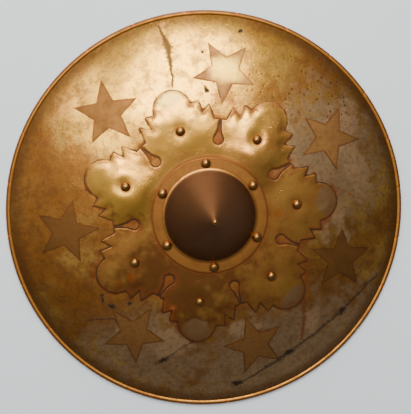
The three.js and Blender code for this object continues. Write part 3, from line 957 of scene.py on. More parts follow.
def make_boss_finish():
    material, tree, place = start_finish("turned_boss")
    radius = from_axis(tree, place)
    flange = ramp(tree, radius, CONE_FOOT - 1.5 * MM, CONE_FOOT + 0.5 * MM)
    cloud = use(tree, clouds, {"Place": place, "Size": 0.016, "Start": 0.4, "End": 0.7})
    look = paint(tree, flange, BRONZE, FLANGE_BRASS)
    turned = add(tree, "ShaderNodeCombineXYZ", {"X": times(tree, radius, 1500.0)}).outputs[0]
    lathe = add(tree, "ShaderNodeTexNoise", {"Vector": turned, "Scale": 1.0, "Detail": 3.0}).outputs[0]
    look = paint(tree, times(tree, cloud, fade(tree, flange, 0.0, 0.6)), look, TARNISH_AND_SHADE)
    look = paint(tree, ramp(tree, lathe, 0.45, 0.7, 0.0, 0.55), look, TARNISH_AND_SHADE)
    edge = ramp(tree, radius, FLANGE_EDGE - 2.5 * MM, FLANGE_EDGE, 0.0, 0.6)
    look = paint(tree, edge, look, RUST)
    # Dark rings round the boss rivets: partly grime, partly painted shade round the heads.
    rings = use(tree, spot_ring, {
        "Place": place, "Count": float(BOSS_RIVETS), "First Turn": BOSS_RIVET_TURN,
        "Circle": BOSS_RIVET_CIRCLE, "Inner": 4.7 * MM, "Outer": 6.4 * MM})
    look = paint(tree, rings, look, TARNISH_AND_SHADE, 0.6)
    roughness = plus(tree, fade(tree, flange, 0.42, 0.28), times(tree, cloud, 0.08))
    end_finish(tree, look, roughness, height=times(tree, lathe, 0.07))
    return material


turned_boss = make_boss_finish()

# %% Finish: rivets, ball and grip
RIVET_BRASS = colour(0.32, 0.15, 0.04)
IRON = colour(0.16, 0.13, 0.11)


def make_rivet_finish():
    material, tree, place = start_finish("polished_rivets")
    cloud = use(tree, clouds, {"Place": place, "Size": 0.004, "Start": 0.45, "End": 0.7})
    look = paint(tree, cloud, RIVET_BRASS, TARNISH_AND_SHADE, 0.5)
    end_finish(tree, look, fade(tree, cloud, 0.2, 0.42), height=times(tree, cloud, 0.06))
    return material


def make_grip_finish():
    material, tree, place = start_finish("forged_grip")
    cloud = use(tree, clouds, {"Place": place, "Size": 0.008, "Start": 0.4, "End": 0.7})
    look = paint(tree, cloud, IRON, RUST, 0.6)
    end_finish(tree, look, fade(tree, cloud, 0.5, 0.8), fade(tree, cloud, 0.9, 0.4),
               times(tree, cloud, 0.2))
    return material


polished_rivets = make_rivet_finish()
forged_grip = make_grip_finish()
print("finishes:", ", ".join(m.name for m in bpy.data.materials if m.use_nodes))

# %% [markdown]
# ## The plate's outline
#
# The plate was pierced and sawn out of thin brass by hand. Each of its seven lobes has a round tip and
# two saw teeth a side, and a keyhole slot parts each two. The outline is made from those few sizes, with
# arcs for the round parts. Small seeded shifts of the teeth keep the lobes from being perfect copies.

# %% Draw the outline
PITCH = 2 * math.pi / LOBES
TIP_RADIUS = 18.5 * MM
TIP_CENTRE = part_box("lobed_plate")[1].x - TIP_RADIUS
LOBE_TEETH = [(8.7 * MM, 0.6 * MM), (7.1 * MM, -12.1 * MM), (17.1 * MM, -6.9 * MM)]
TOOTH_SHIFT = 0.7 * MM
SLOT_MOUTH = 93.6 * MM
MOUTH_HALF = 1.55 * MM
SHOULDER_HALF = 6.15 * MM
SLOT_BULB = 74.4 * MM
BULB_RADIUS = 5.6 * MM
BULB_OPENING = math.radians(55)
THROAT_HALF = 1.9 * MM
TIP_STEPS = 36
BULB_STEPS = 24
THROAT_STEPS = 10
shifts = np.random.RandomState(11)


def spoke_point(across, out, turn):
    """A point across and out along a spoke."""
    return np.array((out * math.cos(turn) - across * math.sin(turn),
                     out * math.sin(turn) + across * math.cos(turn)))


def lobe_side(turn, side):
    teeth = [spoke_point(side * (TIP_RADIUS + across), TIP_CENTRE + out, turn)
             + shifts.uniform(-TOOTH_SHIFT, TOOTH_SHIFT, 2) for across, out in LOBE_TEETH]
    return teeth + [spoke_point(-side * SHOULDER_HALF, SLOT_MOUTH, turn + side * PITCH / 2)]


def lobe_tip(turn):
    return [spoke_point(TIP_RADIUS * math.sin(a), TIP_CENTRE + TIP_RADIUS * math.cos(a), turn)
            for a in np.linspace(-math.pi / 2, math.pi / 2, TIP_STEPS + 1)]


def slot_side():
    """One edge of a slot, from its mouth down a curved throat to the bulb."""
    aside = BULB_RADIUS * math.sin(BULB_OPENING)
    touch = np.array((aside, SLOT_BULB + BULB_RADIUS * math.cos(BULB_OPENING)))
    turn_out = touch[1] + (touch[0] - THROAT_HALF) * math.tan(BULB_OPENING)
    mouth = np.array((MOUTH_HALF, SLOT_MOUTH))
    throat = np.array((THROAT_HALF, turn_out))
    return [(1 - t) ** 2 * mouth + 2 * t * (1 - t) * throat + t * t * touch
            for t in np.linspace(0, 1, THROAT_STEPS + 1)]


def slot_edge(turn):
    side = slot_side()
    bulb = [(BULB_RADIUS * math.sin(a), SLOT_BULB + BULB_RADIUS * math.cos(a))
            for a in np.linspace(-BULB_OPENING, BULB_OPENING - 2 * math.pi, BULB_STEPS + 1)[1:-1]]
    path = [(-across, out) for across, out in side] + bulb + side[::-1]
    return [spoke_point(across, out, turn) for across, out in path]


def plate_outline():
    outline = []
    for lobe in range(LOBES):
        turn = lobe * PITCH
        outline += lobe_side(turn, -1)[::-1] + lobe_tip(turn) + lobe_side(turn, 1)
        outline += slot_edge(turn + PITCH / 2)
    return np.array(outline)


outline = plate_outline()
outline_reach = np.hypot(*outline.T).max() / MM
print("the outline has", len(outline), "points and reaches", round(outline_reach, 1), "mm")

# %% [markdown]
# ## A sheet cut to an outline
#
# To follow the dome and take dents, the plate needs small even triangles inside its outline. A
# constrained Delaunay triangulation gives them: it takes the outline as fixed edges, and a grid of free
# points between. Remeshing a thick solid would round the saw teeth off, and filling the outline without
# inner points would leave long flat triangles.

# %% Triangulate a flat sheet
EDGE_STEP = 1.2 * MM
FREE_STEP = 1.7 * MM
PLATE_HOLE = CONE_FOOT


def stepped(corners, step):
    """A closed outline with extra points on its long sides."""
    points = []
    for start, end in zip(corners, np.roll(corners, -1, axis=0)):
        parts = max(1, round(np.linalg.norm(end - start) / step))
        points += [start + (end - start) * i / parts for i in range(parts)]
    return np.array(points)


def nearest_edge(points, outline):
    """The distance from each point to a closed outline."""
    starts = outline
    lines = np.roll(outline, -1, axis=0) - starts
    lengths = (lines ** 2).sum(1)
    best = np.full(len(points), np.inf)
    for start, line, length in zip(starts, lines, lengths):
        reach = points - start
        share = np.clip(reach @ line / length, 0, 1)
        best = np.minimum(best, np.hypot(*(reach - share[:, None] * line).T))
    return best


def free_points(reach, step):
    """A grid of points in rows that are offset like bricks."""
    row = step * math.sqrt(3) / 2
    rows = np.arange(-reach, reach, row)
    columns = np.arange(-reach, reach, step)
    return np.concatenate([
        np.column_stack((columns + step / 2 * (i % 2), np.full(len(columns), y)))
        for i, y in enumerate(rows)])


def flat_sheet(name, corners, hole, step):
    """A flat mesh inside an outline, with a round hole in the middle."""
    edge = stepped(corners, EDGE_STEP)
    ring = [spoke_point(0, hole, turn) for turn in np.linspace(0, 2 * math.pi, 181)[:-1]]
    ring = np.array(ring)
    inside = free_points(np.hypot(*edge.T).max(), step)
    inside = inside[np.hypot(*inside.T) > hole + step / 2]
    inside = inside[nearest_edge(inside, edge) > step * 0.55]
    fixed = np.concatenate((edge, ring))
    links = [(i, (i + 1) % len(edge)) for i in range(len(edge))]
    links += [(len(edge) + i, len(edge) + (i + 1) % len(ring)) for i in range(len(ring))]
    points = [Vector(p) for p in np.concatenate((fixed, inside))]
    points, _, faces = geometry.delaunay_2d_cdt(points, links, [], 1, 1e-7)[:3]
    kept = [f for f in faces if sum((points[i] for i in f), Vector((0, 0))).length / 3 > hole - 0.1 * MM]
    mesh = bpy.data.meshes.new(name)
    mesh.from_pydata([(p.x, p.y, 0) for p in points], [], kept)
    shape = bmesh.new()
    shape.from_mesh(mesh)
    bmesh.ops.delete(shape, geom=[v for v in shape.verts if not v.link_faces], context="VERTS")
    shape.to_mesh(mesh)
    shape.free()
    return mesh


plate_flat = flat_sheet("plate_flat", outline, PLATE_HOLE, FREE_STEP)
print("flat plate:", len(plate_flat.vertices), "points,", len(plate_flat.polygons), "triangles")

# %% [markdown]
# ## How the plate stands off the bowl
#
# The plate is pulled tight at its rivets and bulges a little between them, and two of the lobes are
# buckled more than the rest. That is what throws the bright, broken highlights round those rivets. The
# stand-off is worked out for each point of the flat sheet and stored on it as an attribute.

# %% Stand-off of the plate
PLATE_LIFT = 0.3 * MM
BULGE_CENTRE = 92 * MM
BULGE_RADIUS = 24 * MM
DIMPLE_RADIUS = 9 * MM
BULGES = [0.7 * MM, 1.8 * MM, 0.8 * MM, 1.8 * MM, 0.8 * MM, 0.6 * MM, 0.7 * MM]
PUCKER_DEPTH = 0.30 * MM
PUCKER_SIZE = 14 * MM
BOSS_COVER = 58 * MM
EDGE_HOLD = 9 * MM
CURL_PLACE = (-46 * MM, -89 * MM)
CURL_HEIGHT = 0.8 * MM
CURL_RADIUS = 4 * MM


def smooth_share(value, start, end):
    share = np.clip((value - start) / (end - start), 0, 1)
    return share * share * (3 - 2 * share)


def plate_stand_off(points, edge):
    radius = np.hypot(*points.T)
    bulge = np.zeros(len(points))
    for lobe, depth in enumerate(BULGES):
        centre = spoke_point(0, BULGE_CENTRE, lobe * PITCH)
        rivet = spoke_point(0, PLATE_RIVET_CIRCLE, lobe * PITCH)
        near = np.exp(-((np.hypot(*(points - centre).T) / BULGE_RADIUS) ** 2))
        pull = np.exp(-((np.hypot(*(points - rivet).T) / DIMPLE_RADIUS) ** 2))
        bulge += depth * near * (1 - pull)
    puckers = np.array([noise.noise(Vector((x, y, 0)) / PUCKER_SIZE) for x, y in points])
    held = smooth_share(edge, 0, EDGE_HOLD) * smooth_share(radius, BOSS_COVER, BOSS_COVER + 12 * MM)
    curl = CURL_HEIGHT * np.exp(-((np.hypot(*(points - CURL_PLACE).T) / CURL_RADIUS) ** 2))
    return PLATE_LIFT + curl + held * (bulge + PUCKER_DEPTH * puckers * (bulge / MM))


flat_points = np.array([v.co[:2] for v in plate_flat.vertices])
plate_gap = nearest_edge(flat_points, outline)
stand_off = plate_stand_off(flat_points, plate_gap)
plate_flat.attributes.new("stand_off", "FLOAT", "POINT").data.foreach_set("value", stand_off)
plate_flat.attributes.new("plate_gap", "FLOAT", "POINT").data.foreach_set("value", plate_gap)
print("the plate stands off by up to", round(stand_off.max() / MM, 2), "mm")


# %% Tree: lay a flat sheet on the dome
def make_lay_tree():
    tree, given, result = new_group(
        "lay_sheet", "GeometryNodeTree", [("Sheet", "shape", None), ("Material", "material", None)],
        [("Shape", "shape")])
    lift = add(tree, "GeometryNodeInputNamedAttribute", {"Name": "stand_off"}, data_type="FLOAT").outputs[0]
    flat = position(tree)
    place = use(tree, laid_on_dome, {"Flat Place": flat, "Lift": lift})
    end_tree(tree, moved(tree, given["Sheet"], place), result, given["Material"])
    return tree


PLATE_SHEET = 0.8 * MM
plate = grow(
    "lobed_plate_sheet", make_lay_tree(), {"Material": rubbed_plate}, start=plate_flat,
    modifiers=[wall(PLATE_SHEET, 1), soft_edge(0.16 * MM)])

# %% [markdown]
# ## The bowl
#
# A grid of points wrapped round the axis gives the bowl even faces from the hand hole to the rim. A
# Screw modifier could turn a section too, but nodes let the same tree add the dents, the crease at the
# top and the distance to the plate. Solidify then gives the sheet its wall, downwards from the face.

# %% Tree: the hammered bowl
BOWL_SHEET = 1.2 * MM
BOWL_RINGS = 108
BOWL_STEPS = 400
CREASE_START = (-22.5, 188)
CREASE_END = (-21, 127.5)
CREASE_HALF = 3.5 * MM
CREASE_DEPTH = 0.45 * MM


def store_gap(tree, shape, sheet):
    """Keep the distance outside the plate's outline on each point, less than nothing inside it."""
    flat = add(tree, "GeometryNodeObjectInfo", {"Object": sheet}).outputs["Geometry"]
    sides = add(tree, "GeometryNodeInputMeshEdgeNeighbors").outputs[0]
    shared = calc(tree, "GREATER_THAN", sides, 1.5)
    edges = add(tree, "GeometryNodeDeleteGeometry", {"Geometry": flat, "Selection": shared},
                domain="EDGE", mode="EDGE_FACE").outputs[0]
    near_edge = add(tree, "GeometryNodeProximity", {0: edges}, target_element="EDGES").outputs["Distance"]
    near_face = add(tree, "GeometryNodeProximity", {0: flat}, target_element="FACES").outputs["Distance"]
    outside = calc(tree, "GREATER_THAN", near_face, 1e-6)
    sign = minus(tree, times(tree, outside, 2.0), 1.0)
    inputs = {"Geometry": shape, "Name": "plate_gap", "Value": times(tree, near_edge, sign)}
    return add(tree, "GeometryNodeStoreNamedAttribute", inputs, data_type="FLOAT").outputs[0]


def make_bowl_tree():
    tree, given, result = new_group(
        "hammered_bowl", "GeometryNodeTree",
        [("Inner Radius", "number", 0.04), ("Outer Radius", "number", 0.2), ("Rings", "count", 100),
         ("Steps", "count", 400), ("Plate", "object", None), ("Material", "material", None)],
        [("Shape", "shape")])
    grid, share, turn = wrapped_grid(tree, given["Rings"], given["Steps"])
    width = minus(tree, given["Outer Radius"], given["Inner Radius"])
    radius = plus(tree, given["Inner Radius"], times(tree, share, width))
    disc = welded(tree, moved(tree, grid, polar_point(tree, radius, turn, 0.0)))
    marked = store_gap(tree, disc, given["Plate"])
    flat = position(tree)
    distance, _ = segment_distance(tree, flat, point(CREASE_START), point(CREASE_END))
    groove = ramp(tree, distance, CREASE_HALF, 0.0, 0.0, -CREASE_DEPTH)
    place = use(tree, laid_on_dome, {"Flat Place": flat, "Lift": groove})
    end_tree(tree, moved(tree, marked, place), result, given["Material"])
    return tree


plate_pattern = new_object("plate_pattern", plate_flat)
bowl = grow(
    "bowl_sheet", make_bowl_tree(),
    {"Inner Radius": HAND_HOLE, "Outer Radius": BEAD_CIRCLE, "Rings": BOWL_RINGS, "Steps": BOWL_STEPS,
     "Plate": plate_pattern, "Material": worn_bowl},
    modifiers=[wall(BOWL_SHEET, -1)])
bpy.data.objects.remove(plate_pattern)

# %% [markdown]
# ## The rolled rim
#
# A strip of brass was rolled into a split tube and closed over the bowl's edge, and set down at 24
# places, which left a small nick at each. Wrapping a grid again gives the tube: one way round its
# section and one way round the shield. The slit faces the incoming sheet.

# %% Tree: the rolled rim
BEAD_WALL = 0.9 * MM
BEAD_SECTION = 25
BEAD_STEPS = 720
SLIT_HALF = math.radians(20)
NICK_DEPTH = 0.22 * MM
NICK_HALF = 1.6 * MM


def make_rim_tree():
    tree, given, result = new_group(
        "rolled_rim", "GeometryNodeTree",
        [("Circle", "number", 0.2), ("Tube", "number", 0.003), ("Slit Turn", "number", 2.6),
         ("Slit Half", "number", 0.3), ("Sets", "number", 24.0), ("Nick", "number", 0.0),
         ("Material", "material", None)],
        [("Shape", "shape")])
    grid, share, turn = wrapped_grid(tree, BEAD_SECTION, BEAD_STEPS)
    sweep = minus(tree, 2 * math.pi, times(tree, given["Slit Half"], 2.0))
    start = minus(tree, given["Slit Turn"], given["Slit Half"])
    section = minus(tree, start, times(tree, share, sweep))
    pitch = calc(tree, "DIVIDE", 2 * math.pi, given["Sets"])
    steps = calc(tree, "DIVIDE", turn, pitch)
    rest = calc(tree, "ABSOLUTE", minus(tree, steps, calc(tree, "ROUND", steps)))
    away = times(tree, times(tree, rest, pitch), given["Circle"])
    nick = ramp(tree, away, NICK_HALF, 0.0, 0.0, given["Nick"])
    tube = minus(tree, given["Tube"], nick)
    radius = plus(tree, given["Circle"], times(tree, tube, calc(tree, "COSINE", section)))
    height = plus(tree, given["Tube"], times(tree, tube, calc(tree, "SINE", section)))
    ring = welded(tree, moved(tree, grid, polar_point(tree, radius, turn, height)))
    end_tree(tree, ring, result, given["Material"])
    return tree


rim = grow(
    "rolled_rim", make_rim_tree(),
    {"Circle": BEAD_CIRCLE, "Tube": BEAD_TUBE, "Slit Turn": math.pi - math.atan(dome_slope(BOWL_EDGE)),
     "Slit Half": SLIT_HALF, "Sets": float(RIM_SETS), "Nick": NICK_DEPTH, "Material": rubbed_rim},
    modifiers=[wall(BEAD_WALL, -1)])

# %% [markdown]
# ## The stars
#
# Seven thin stars lie flush between the lobes and the rim, each with one point towards the boss. A Star
# curve is filleted at its corners, filled and divided until it can bend, then copied to seven places and
# laid on the dome. Small seeded turns show that they were placed by hand.

# %% Tree: hand-cut stars
STAR_SHEET = 0.5 * MM
STAR_LIFT = 0.15 * MM
STAR_SWING = math.radians(0.5)


def make_star_tree():
    tree, given, result = new_group(
        "hand_cut_stars", "GeometryNodeTree",
        [("Circle", "number", 0.14), ("Tip Radius", "number", 0.03), ("Notch Radius", "number", 0.013),
         ("Rounding", "number", 0.0004), ("Swing", "number", 0.0), ("Lift", "number", 0.0),
         ("Material", "material", None)],
        [("Shape", "shape")])
    star = add(tree, "GeometryNodeCurveStar", {
        "Points": STAR_POINTS, "Inner Radius": given["Notch Radius"], "Outer Radius": given["Tip Radius"]})
    soft = add(tree, "GeometryNodeFilletCurve", {
        "Curve": star.outputs["Curve"], "Count": 3, "Radius": given["Rounding"]}, mode="POLY")
    sheet = add(tree, "GeometryNodeFillCurve", {"Curve": soft.outputs[0]}, mode="TRIANGLES").outputs[0]
    fine = add(tree, "GeometryNodeSubdivideMesh", {"Mesh": sheet, "Level": 3}).outputs[0]
    spokes = add(tree, "GeometryNodeMeshCircle", {"Vertices": LOBES, "Radius": given["Circle"]}).outputs[0]
    places = add(tree, "GeometryNodeTransform", {
        "Geometry": spokes, "Rotation": (0, 0, PITCH / 2)}).outputs[0]
    parts = parts_of(tree, position(tree))
    turn = plus(tree, calc(tree, "ARCTAN2", parts["Y"], parts["X"]), math.pi)
    swing = add(tree, "FunctionNodeRandomValue", {"Seed": 5}, data_type="FLOAT")
    put(tree, swing.inputs[2], times(tree, given["Swing"], -1.0))
    put(tree, swing.inputs[3], given["Swing"])
    heading = add(tree, "ShaderNodeCombineXYZ", {"Z": plus(tree, turn, swing.outputs[1])}).outputs[0]
    copies = add(tree, "GeometryNodeInstanceOnPoints", {
        "Points": places, "Instance": fine, "Rotation": heading}).outputs[0]
    real = add(tree, "GeometryNodeRealizeInstances", {"Geometry": copies}).outputs[0]
    flat = position(tree)
    place = use(tree, laid_on_dome, {"Flat Place": flat, "Lift": given["Lift"]})
    end_tree(tree, moved(tree, real, place), result, given["Material"])
    return tree


stars = grow(
    "inlaid_stars", make_star_tree(),
    {"Circle": STAR_CIRCLE, "Tip Radius": STAR_RADIUS, "Notch Radius": STAR_NOTCH, "Rounding": 0.5 * MM,
     "Swing": STAR_SWING, "Lift": STAR_LIFT, "Material": dull_stars},
    modifiers=[wall(STAR_SHEET, 1), soft_edge(0.12 * MM, 1)])

# %% [markdown]
# ## Turned pieces
#
# The boss was spun over a form, and the rivets and the ball are round too. A section, given as radius
# and height, is turned about the axis in mesh code. It is the clearest way for a section with many small
# steps, such as the moulding at the foot of the cone, which catches two bright rings of light.

# %% Turn a section into a mesh
def turned_mesh(name, section, steps, material):
    """A closed section turned about the axis. Points on the axis are merged."""
    shape = bmesh.new()
    rings = []
    for step in range(steps):
        turn = 2 * math.pi * step / steps
        rings.append([shape.verts.new((r * math.cos(turn), r * math.sin(turn), z)) for r, z in section])
    for ring, following in zip(rings, rings[1:] + rings[:1]):
        for i in range(len(section)):
            j = (i + 1) % len(section)
            shape.faces.new((ring[i], following[i], following[j], ring[j]))
    bmesh.ops.remove_doubles(shape, verts=shape.verts, dist=0.001 * MM)
    bmesh.ops.dissolve_degenerate(shape, edges=shape.edges, dist=0.001 * MM)
    bmesh.ops.recalc_face_normals(shape, faces=shape.faces)
    for face in shape.faces:
        face.smooth = True
    mesh = bpy.data.meshes.new(name)
    shape.to_mesh(mesh)
    shape.free()
    mesh.materials.append(material)
    mesh.set_sharp_from_angle(angle=SHARP_FROM)
    return mesh


def arc(centre, radius, start, end, steps):
    """Points of an arc in a section, with angles in degrees."""
    return [(centre[0] + radius * math.cos(a), centre[1] + radius * math.sin(a))
            for a in np.radians(np.linspace(start, end, steps + 1))]


print("turned pieces use rings of up to 200 steps")

# %% The boss
PLATE_TOP = PLATE_LIFT + PLATE_SHEET
FLANGE_TOP = 2.6 * MM
BOSS_SHEET = 1.2 * MM
CONE_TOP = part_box("boss")[1].z
CONE_TIP = 2.8 * MM
CONE_BASE = dome_height(CONE_FOOT) + FLANGE_TOP
CONE_RUN = (CONE_FOOT - CONE_TIP) / (CONE_TOP - CONE_BASE)
STEP_OUT = 46.8 * MM
STEP_RISE = 0.6 * MM
LEDGE_IN = 44.7 * MM
FILLET_IN = 42.0 * MM


def cone_radius(height):
    return CONE_FOOT - (height - CONE_BASE) * CONE_RUN


def boss_over():
    """The outer face: rounded edge, flat flange, a rounded step, a ledge, a fillet and the cone."""
    edge_r, edge_z = off_dome(FLANGE_EDGE - 0.4 * MM, FLANGE_TOP - 0.4 * MM)
    face = arc((edge_r, edge_z), 0.4 * MM, 0, 80, 4)
    face += [off_dome(radius, FLANGE_TOP) for radius in np.linspace(FLANGE_EDGE - 0.6 * MM, STEP_OUT, 9)]
    step_z = dome_height(STEP_OUT) + FLANGE_TOP
    face += arc((STEP_OUT - STEP_RISE, step_z), STEP_RISE, 15, 90, 6)
    ledge_z = face[-1][1]
    face += [(LEDGE_IN + 0.5 * MM, ledge_z + 0.1 * MM), (LEDGE_IN, ledge_z + 0.45 * MM)]
    start = np.array(face[-1])
    foot = np.array((FILLET_IN, CONE_BASE + (CONE_FOOT - FILLET_IN) / CONE_RUN))
    bend = np.array((FILLET_IN + 1.3 * MM, foot[1] - 1.3 * MM / CONE_RUN))
    face += [tuple((1 - t) ** 2 * start + 2 * t * (1 - t) * bend + t * t * foot)
             for t in np.linspace(0, 1, 9)[1:]]
    face += [(cone_radius(z), z) for z in np.linspace(foot[1] + 0.8 * MM, CONE_TOP - 0.4 * MM, 40)]
    return face + [(CONE_TIP - 0.3 * MM, CONE_TOP), (1.2 * MM, CONE_TOP)]


def boss_under():
    """The inner face, plain, a sheet's thickness below."""
    flat_part = np.linspace(FLANGE_EDGE, CONE_FOOT + 1 * MM, 8)
    face = [off_dome(radius, FLANGE_TOP - BOSS_SHEET) for radius in flat_part]
    side = BOSS_SHEET * math.sqrt(1 + CONE_RUN ** 2)
    face += [(cone_radius(z) - side, z) for z in np.linspace(CONE_BASE + 0.2 * MM, CONE_TOP - 3 * MM, 12)]
    return face + [(1.2 * MM, CONE_TOP - BOSS_SHEET)]


boss_section = boss_over() + boss_under()[::-1]
boss = new_object("spun_boss", turned_mesh("spun_boss", boss_section, 200, turned_boss))
print("boss section has", len(boss_section), "points")

# %% The ball at the tip
BALL_RADIUS = 2.9 * MM
BALL_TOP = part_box("boss_ball")[1].z
PIN_RADIUS = 1.1 * MM
PIN_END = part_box("boss_ball")[0].z
ball_section = arc((0, BALL_TOP - BALL_RADIUS), BALL_RADIUS, 90, -44, 20)
ball_section += [(PIN_RADIUS, CONE_TOP + 0.1 * MM), (PIN_RADIUS, CONE_TOP - BOSS_SHEET - 0.3 * MM)]
ball_section += [(1.7 * MM, CONE_TOP - BOSS_SHEET - 0.3 * MM), (0, PIN_END)]
ball = new_object("tip_ball", turned_mesh("tip_ball", ball_section, 40, polished_rivets))
print("ball top at", round(BALL_TOP / MM, 2), "mm")

# %% [markdown]
# ## The rivets
#
# One turned head and one turned tail serve all thirteen rivets. Geometry Nodes set them on a circle,
# square to the dome, and vary their size and turn a little, as hand-set rivets do. The tails of the two
# rivets that also hold the grip are set further down, on the back of the bar.

# %% Rivet patterns
HEAD_RADIUS = 4.7 * MM
HEAD_HEIGHT = 3.6 * MM
SHANK_RADIUS = 2.0 * MM
TAIL_RADIUS = 3.5 * MM
TAIL_HEIGHT = 1.3 * MM

head_section = [(0, -0.4 * MM), (HEAD_RADIUS - 0.3 * MM, -0.4 * MM), (HEAD_RADIUS, 0)]
head_section += [(HEAD_RADIUS * math.cos(a), HEAD_HEIGHT * math.sin(a) ** 0.92)
                 for a in np.linspace(0, math.pi / 2, 15)[1:]]
tail_section = [(0, -TAIL_HEIGHT), (TAIL_RADIUS * 0.55, -TAIL_HEIGHT * 0.85), (TAIL_RADIUS, -0.2 * MM)]
tail_section += [(TAIL_RADIUS, 0), (SHANK_RADIUS, 0), (SHANK_RADIUS, 1.5 * MM), (0, 1.5 * MM)]
head_pattern = new_object("head_pattern", turned_mesh("head_pattern", head_section, 40, polished_rivets))
tail_pattern = new_object("tail_pattern", turned_mesh("tail_pattern", tail_section, 24, polished_rivets))
print("rivet head", HEAD_RADIUS * 2 / MM, "mm across")


# %% Tree: set rivets on a circle
def make_rivet_tree():
    tree, given, result = new_group(
        "set_rivets", "GeometryNodeTree",
        [("Count", "count", 7), ("Circle", "number", 0.08), ("First Turn", "number", 0.0),
         ("Lean", "number", 0.0), ("Height", "number", 0.0), ("Head Lift", "number", 0.0),
         ("Tail Drop", "number", 0.0), ("Bar Drop", "number", 0.0), ("Seed", "count", 1),
         ("Head", "object", None), ("Tail", "object", None), ("Material", "material", None)],
        [("Shape", "shape")])
    ring = add(tree, "GeometryNodeMeshCircle", {
        "Vertices": given["Count"], "Radius": given["Circle"]}).outputs[0]
    raised = add(tree, "ShaderNodeCombineXYZ", {"Z": given["Height"]}).outputs[0]
    first = add(tree, "ShaderNodeCombineXYZ", {"Z": given["First Turn"]}).outputs[0]
    seats = add(tree, "GeometryNodeTransform", {
        "Geometry": ring, "Translation": raised, "Rotation": first}).outputs[0]
    parts = parts_of(tree, position(tree))
    turn = calc(tree, "ARCTAN2", parts["Y"], parts["X"])
    square = add(tree, "ShaderNodeCombineXYZ", {"Y": given["Lean"], "Z": turn}).outputs[0]
    size = add(tree, "FunctionNodeRandomValue", {"Seed": given["Seed"]}, data_type="FLOAT")
    put(tree, size.inputs[2], 0.94)
    put(tree, size.inputs[3], 1.0)
    sets = []
    third = calc(tree, "MODULO", add(tree, "GeometryNodeInputIndex").outputs[0], 3.0)
    on_bar = calc(tree, "COMPARE", third, 1.0, 0.1)
    extra = times(tree, on_bar, given["Bar Drop"])
    drop = times(tree, plus(tree, given["Tail Drop"], extra), -1.0)
    for pattern, lift in (("Head", given["Head Lift"]), ("Tail", drop)):
        shape = add(tree, "GeometryNodeObjectInfo", {"Object": given[pattern]}).outputs["Geometry"]
        placed = add(tree, "GeometryNodeInstanceOnPoints", {
            "Points": seats, "Instance": shape, "Rotation": square, "Scale": size.outputs[1]}).outputs[0]
        up = add(tree, "ShaderNodeCombineXYZ", {"Z": lift}).outputs[0]
        sets.append(add(tree, "GeometryNodeTranslateInstances", {
            "Instances": placed, "Translation": up, "Local Space": True}).outputs[0])
    joined = tree.nodes.new("GeometryNodeJoinGeometry")
    for one in sets:
        tree.links.new(one, joined.inputs[0])
    end_tree(tree, joined.outputs[0], result, given["Material"])
    return tree


rivet_tree = make_rivet_tree()
GRIP_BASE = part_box("grip")[0].z


def set_rivets(name, count, circle, first_turn, head_lift, bar_drop, seed):
    return grow(name, rivet_tree, {
        "Count": count, "Circle": circle, "First Turn": first_turn, "Lean": math.atan(dome_slope(circle)),
        "Height": dome_height(circle), "Head Lift": head_lift, "Tail Drop": BOWL_SHEET + 0.1 * MM,
        "Bar Drop": bar_drop, "Seed": seed, "Head": head_pattern, "Tail": tail_pattern,
        "Material": polished_rivets})


bar_drop = dome_height(BOSS_RIVET_CIRCLE) - BOWL_SHEET - GRIP_BASE
plate_rivets = set_rivets(
    "plate_rivets", LOBES, PLATE_RIVET_CIRCLE, 0.0, PLATE_TOP + 0.1 * MM, 0.0, 3)
boss_rivets = set_rivets(
    "boss_rivets", BOSS_RIVETS, BOSS_RIVET_CIRCLE, BOSS_RIVET_TURN, FLANGE_TOP, bar_drop, 8)
for pattern in (head_pattern, tail_pattern):
    bpy.data.objects.remove(pattern)

# %% [markdown]
# ## The grip
#
# A flat forged bar crosses the hand hole behind the boss. It swells in the middle to fill the palm and
# has round ends under two of the boss rivets. Its outline is two arcs and two bowed sides, extruded and
# softened with a wide bevel, and it is kept plain because the back is never the show side.

# %% The grip bar
GRIP_LOW, GRIP_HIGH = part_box("grip")
GRIP_WIDTH = 22 * MM
GRIP_END = 7.5 * MM
GRIP_TURN = BOSS_RIVET_TURN + math.pi / 3
SIDE_STEPS = 24


def grip_outline():
    """Half the outline, from one end round to the other, then the same turned about."""
    half = BOSS_RIVET_CIRCLE
    swell = GRIP_WIDTH - GRIP_END
    turns = np.linspace(-math.pi / 2, math.pi / 2, 13)
    end = [(half + GRIP_END * math.cos(a), GRIP_END * math.sin(a)) for a in turns]
    side = [(half * (1 - 2 * t), GRIP_END * (1 - t) ** 2 + 2 * t * (1 - t) * swell + GRIP_END * t * t)
            for t in np.linspace(0, 1, SIDE_STEPS + 1)[1:-1]]
    return end + side + [(-x, -y) for x, y in end + side]


def make_grip():
    shape = bmesh.new()
    corners = [spoke_point(y, x, GRIP_TURN) for x, y in grip_outline()]
    face = shape.faces.new([shape.verts.new((x, y, GRIP_LOW.z)) for x, y in corners])
    raised = bmesh.ops.extrude_face_region(shape, geom=[face])["geom"]
    corners_up = [v for v in raised if isinstance(v, bmesh.types.BMVert)]
    bmesh.ops.translate(shape, verts=corners_up, vec=(0, 0, GRIP_HIGH.z - GRIP_LOW.z))
    bmesh.ops.recalc_face_normals(shape, faces=shape.faces)
    mesh = bpy.data.meshes.new("grip_bar")
    shape.to_mesh(mesh)
    shape.free()
    mesh.materials.append(forged_grip)
    for side in mesh.polygons:
        side.use_smooth = True
    holder = new_object("grip_holder", mesh)
    kind, settings = soft_edge(1.1 * MM, 3)
    bevel = holder.modifiers.new("bevel", kind)
    for key, value in settings.items():
        setattr(bevel, key, value)
    return plain_piece("grip_bar", holder)


grip = make_grip()

# %% [markdown]
# ## What each piece stands for
#
# Each visible piece rides on the shield's one body and takes over from its plain pieces in the model,
# which are hidden.

# %% Hand the pieces over
def hand_over(piece, slot, *nodes):
    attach(piece, "root")
    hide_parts(*nodes)


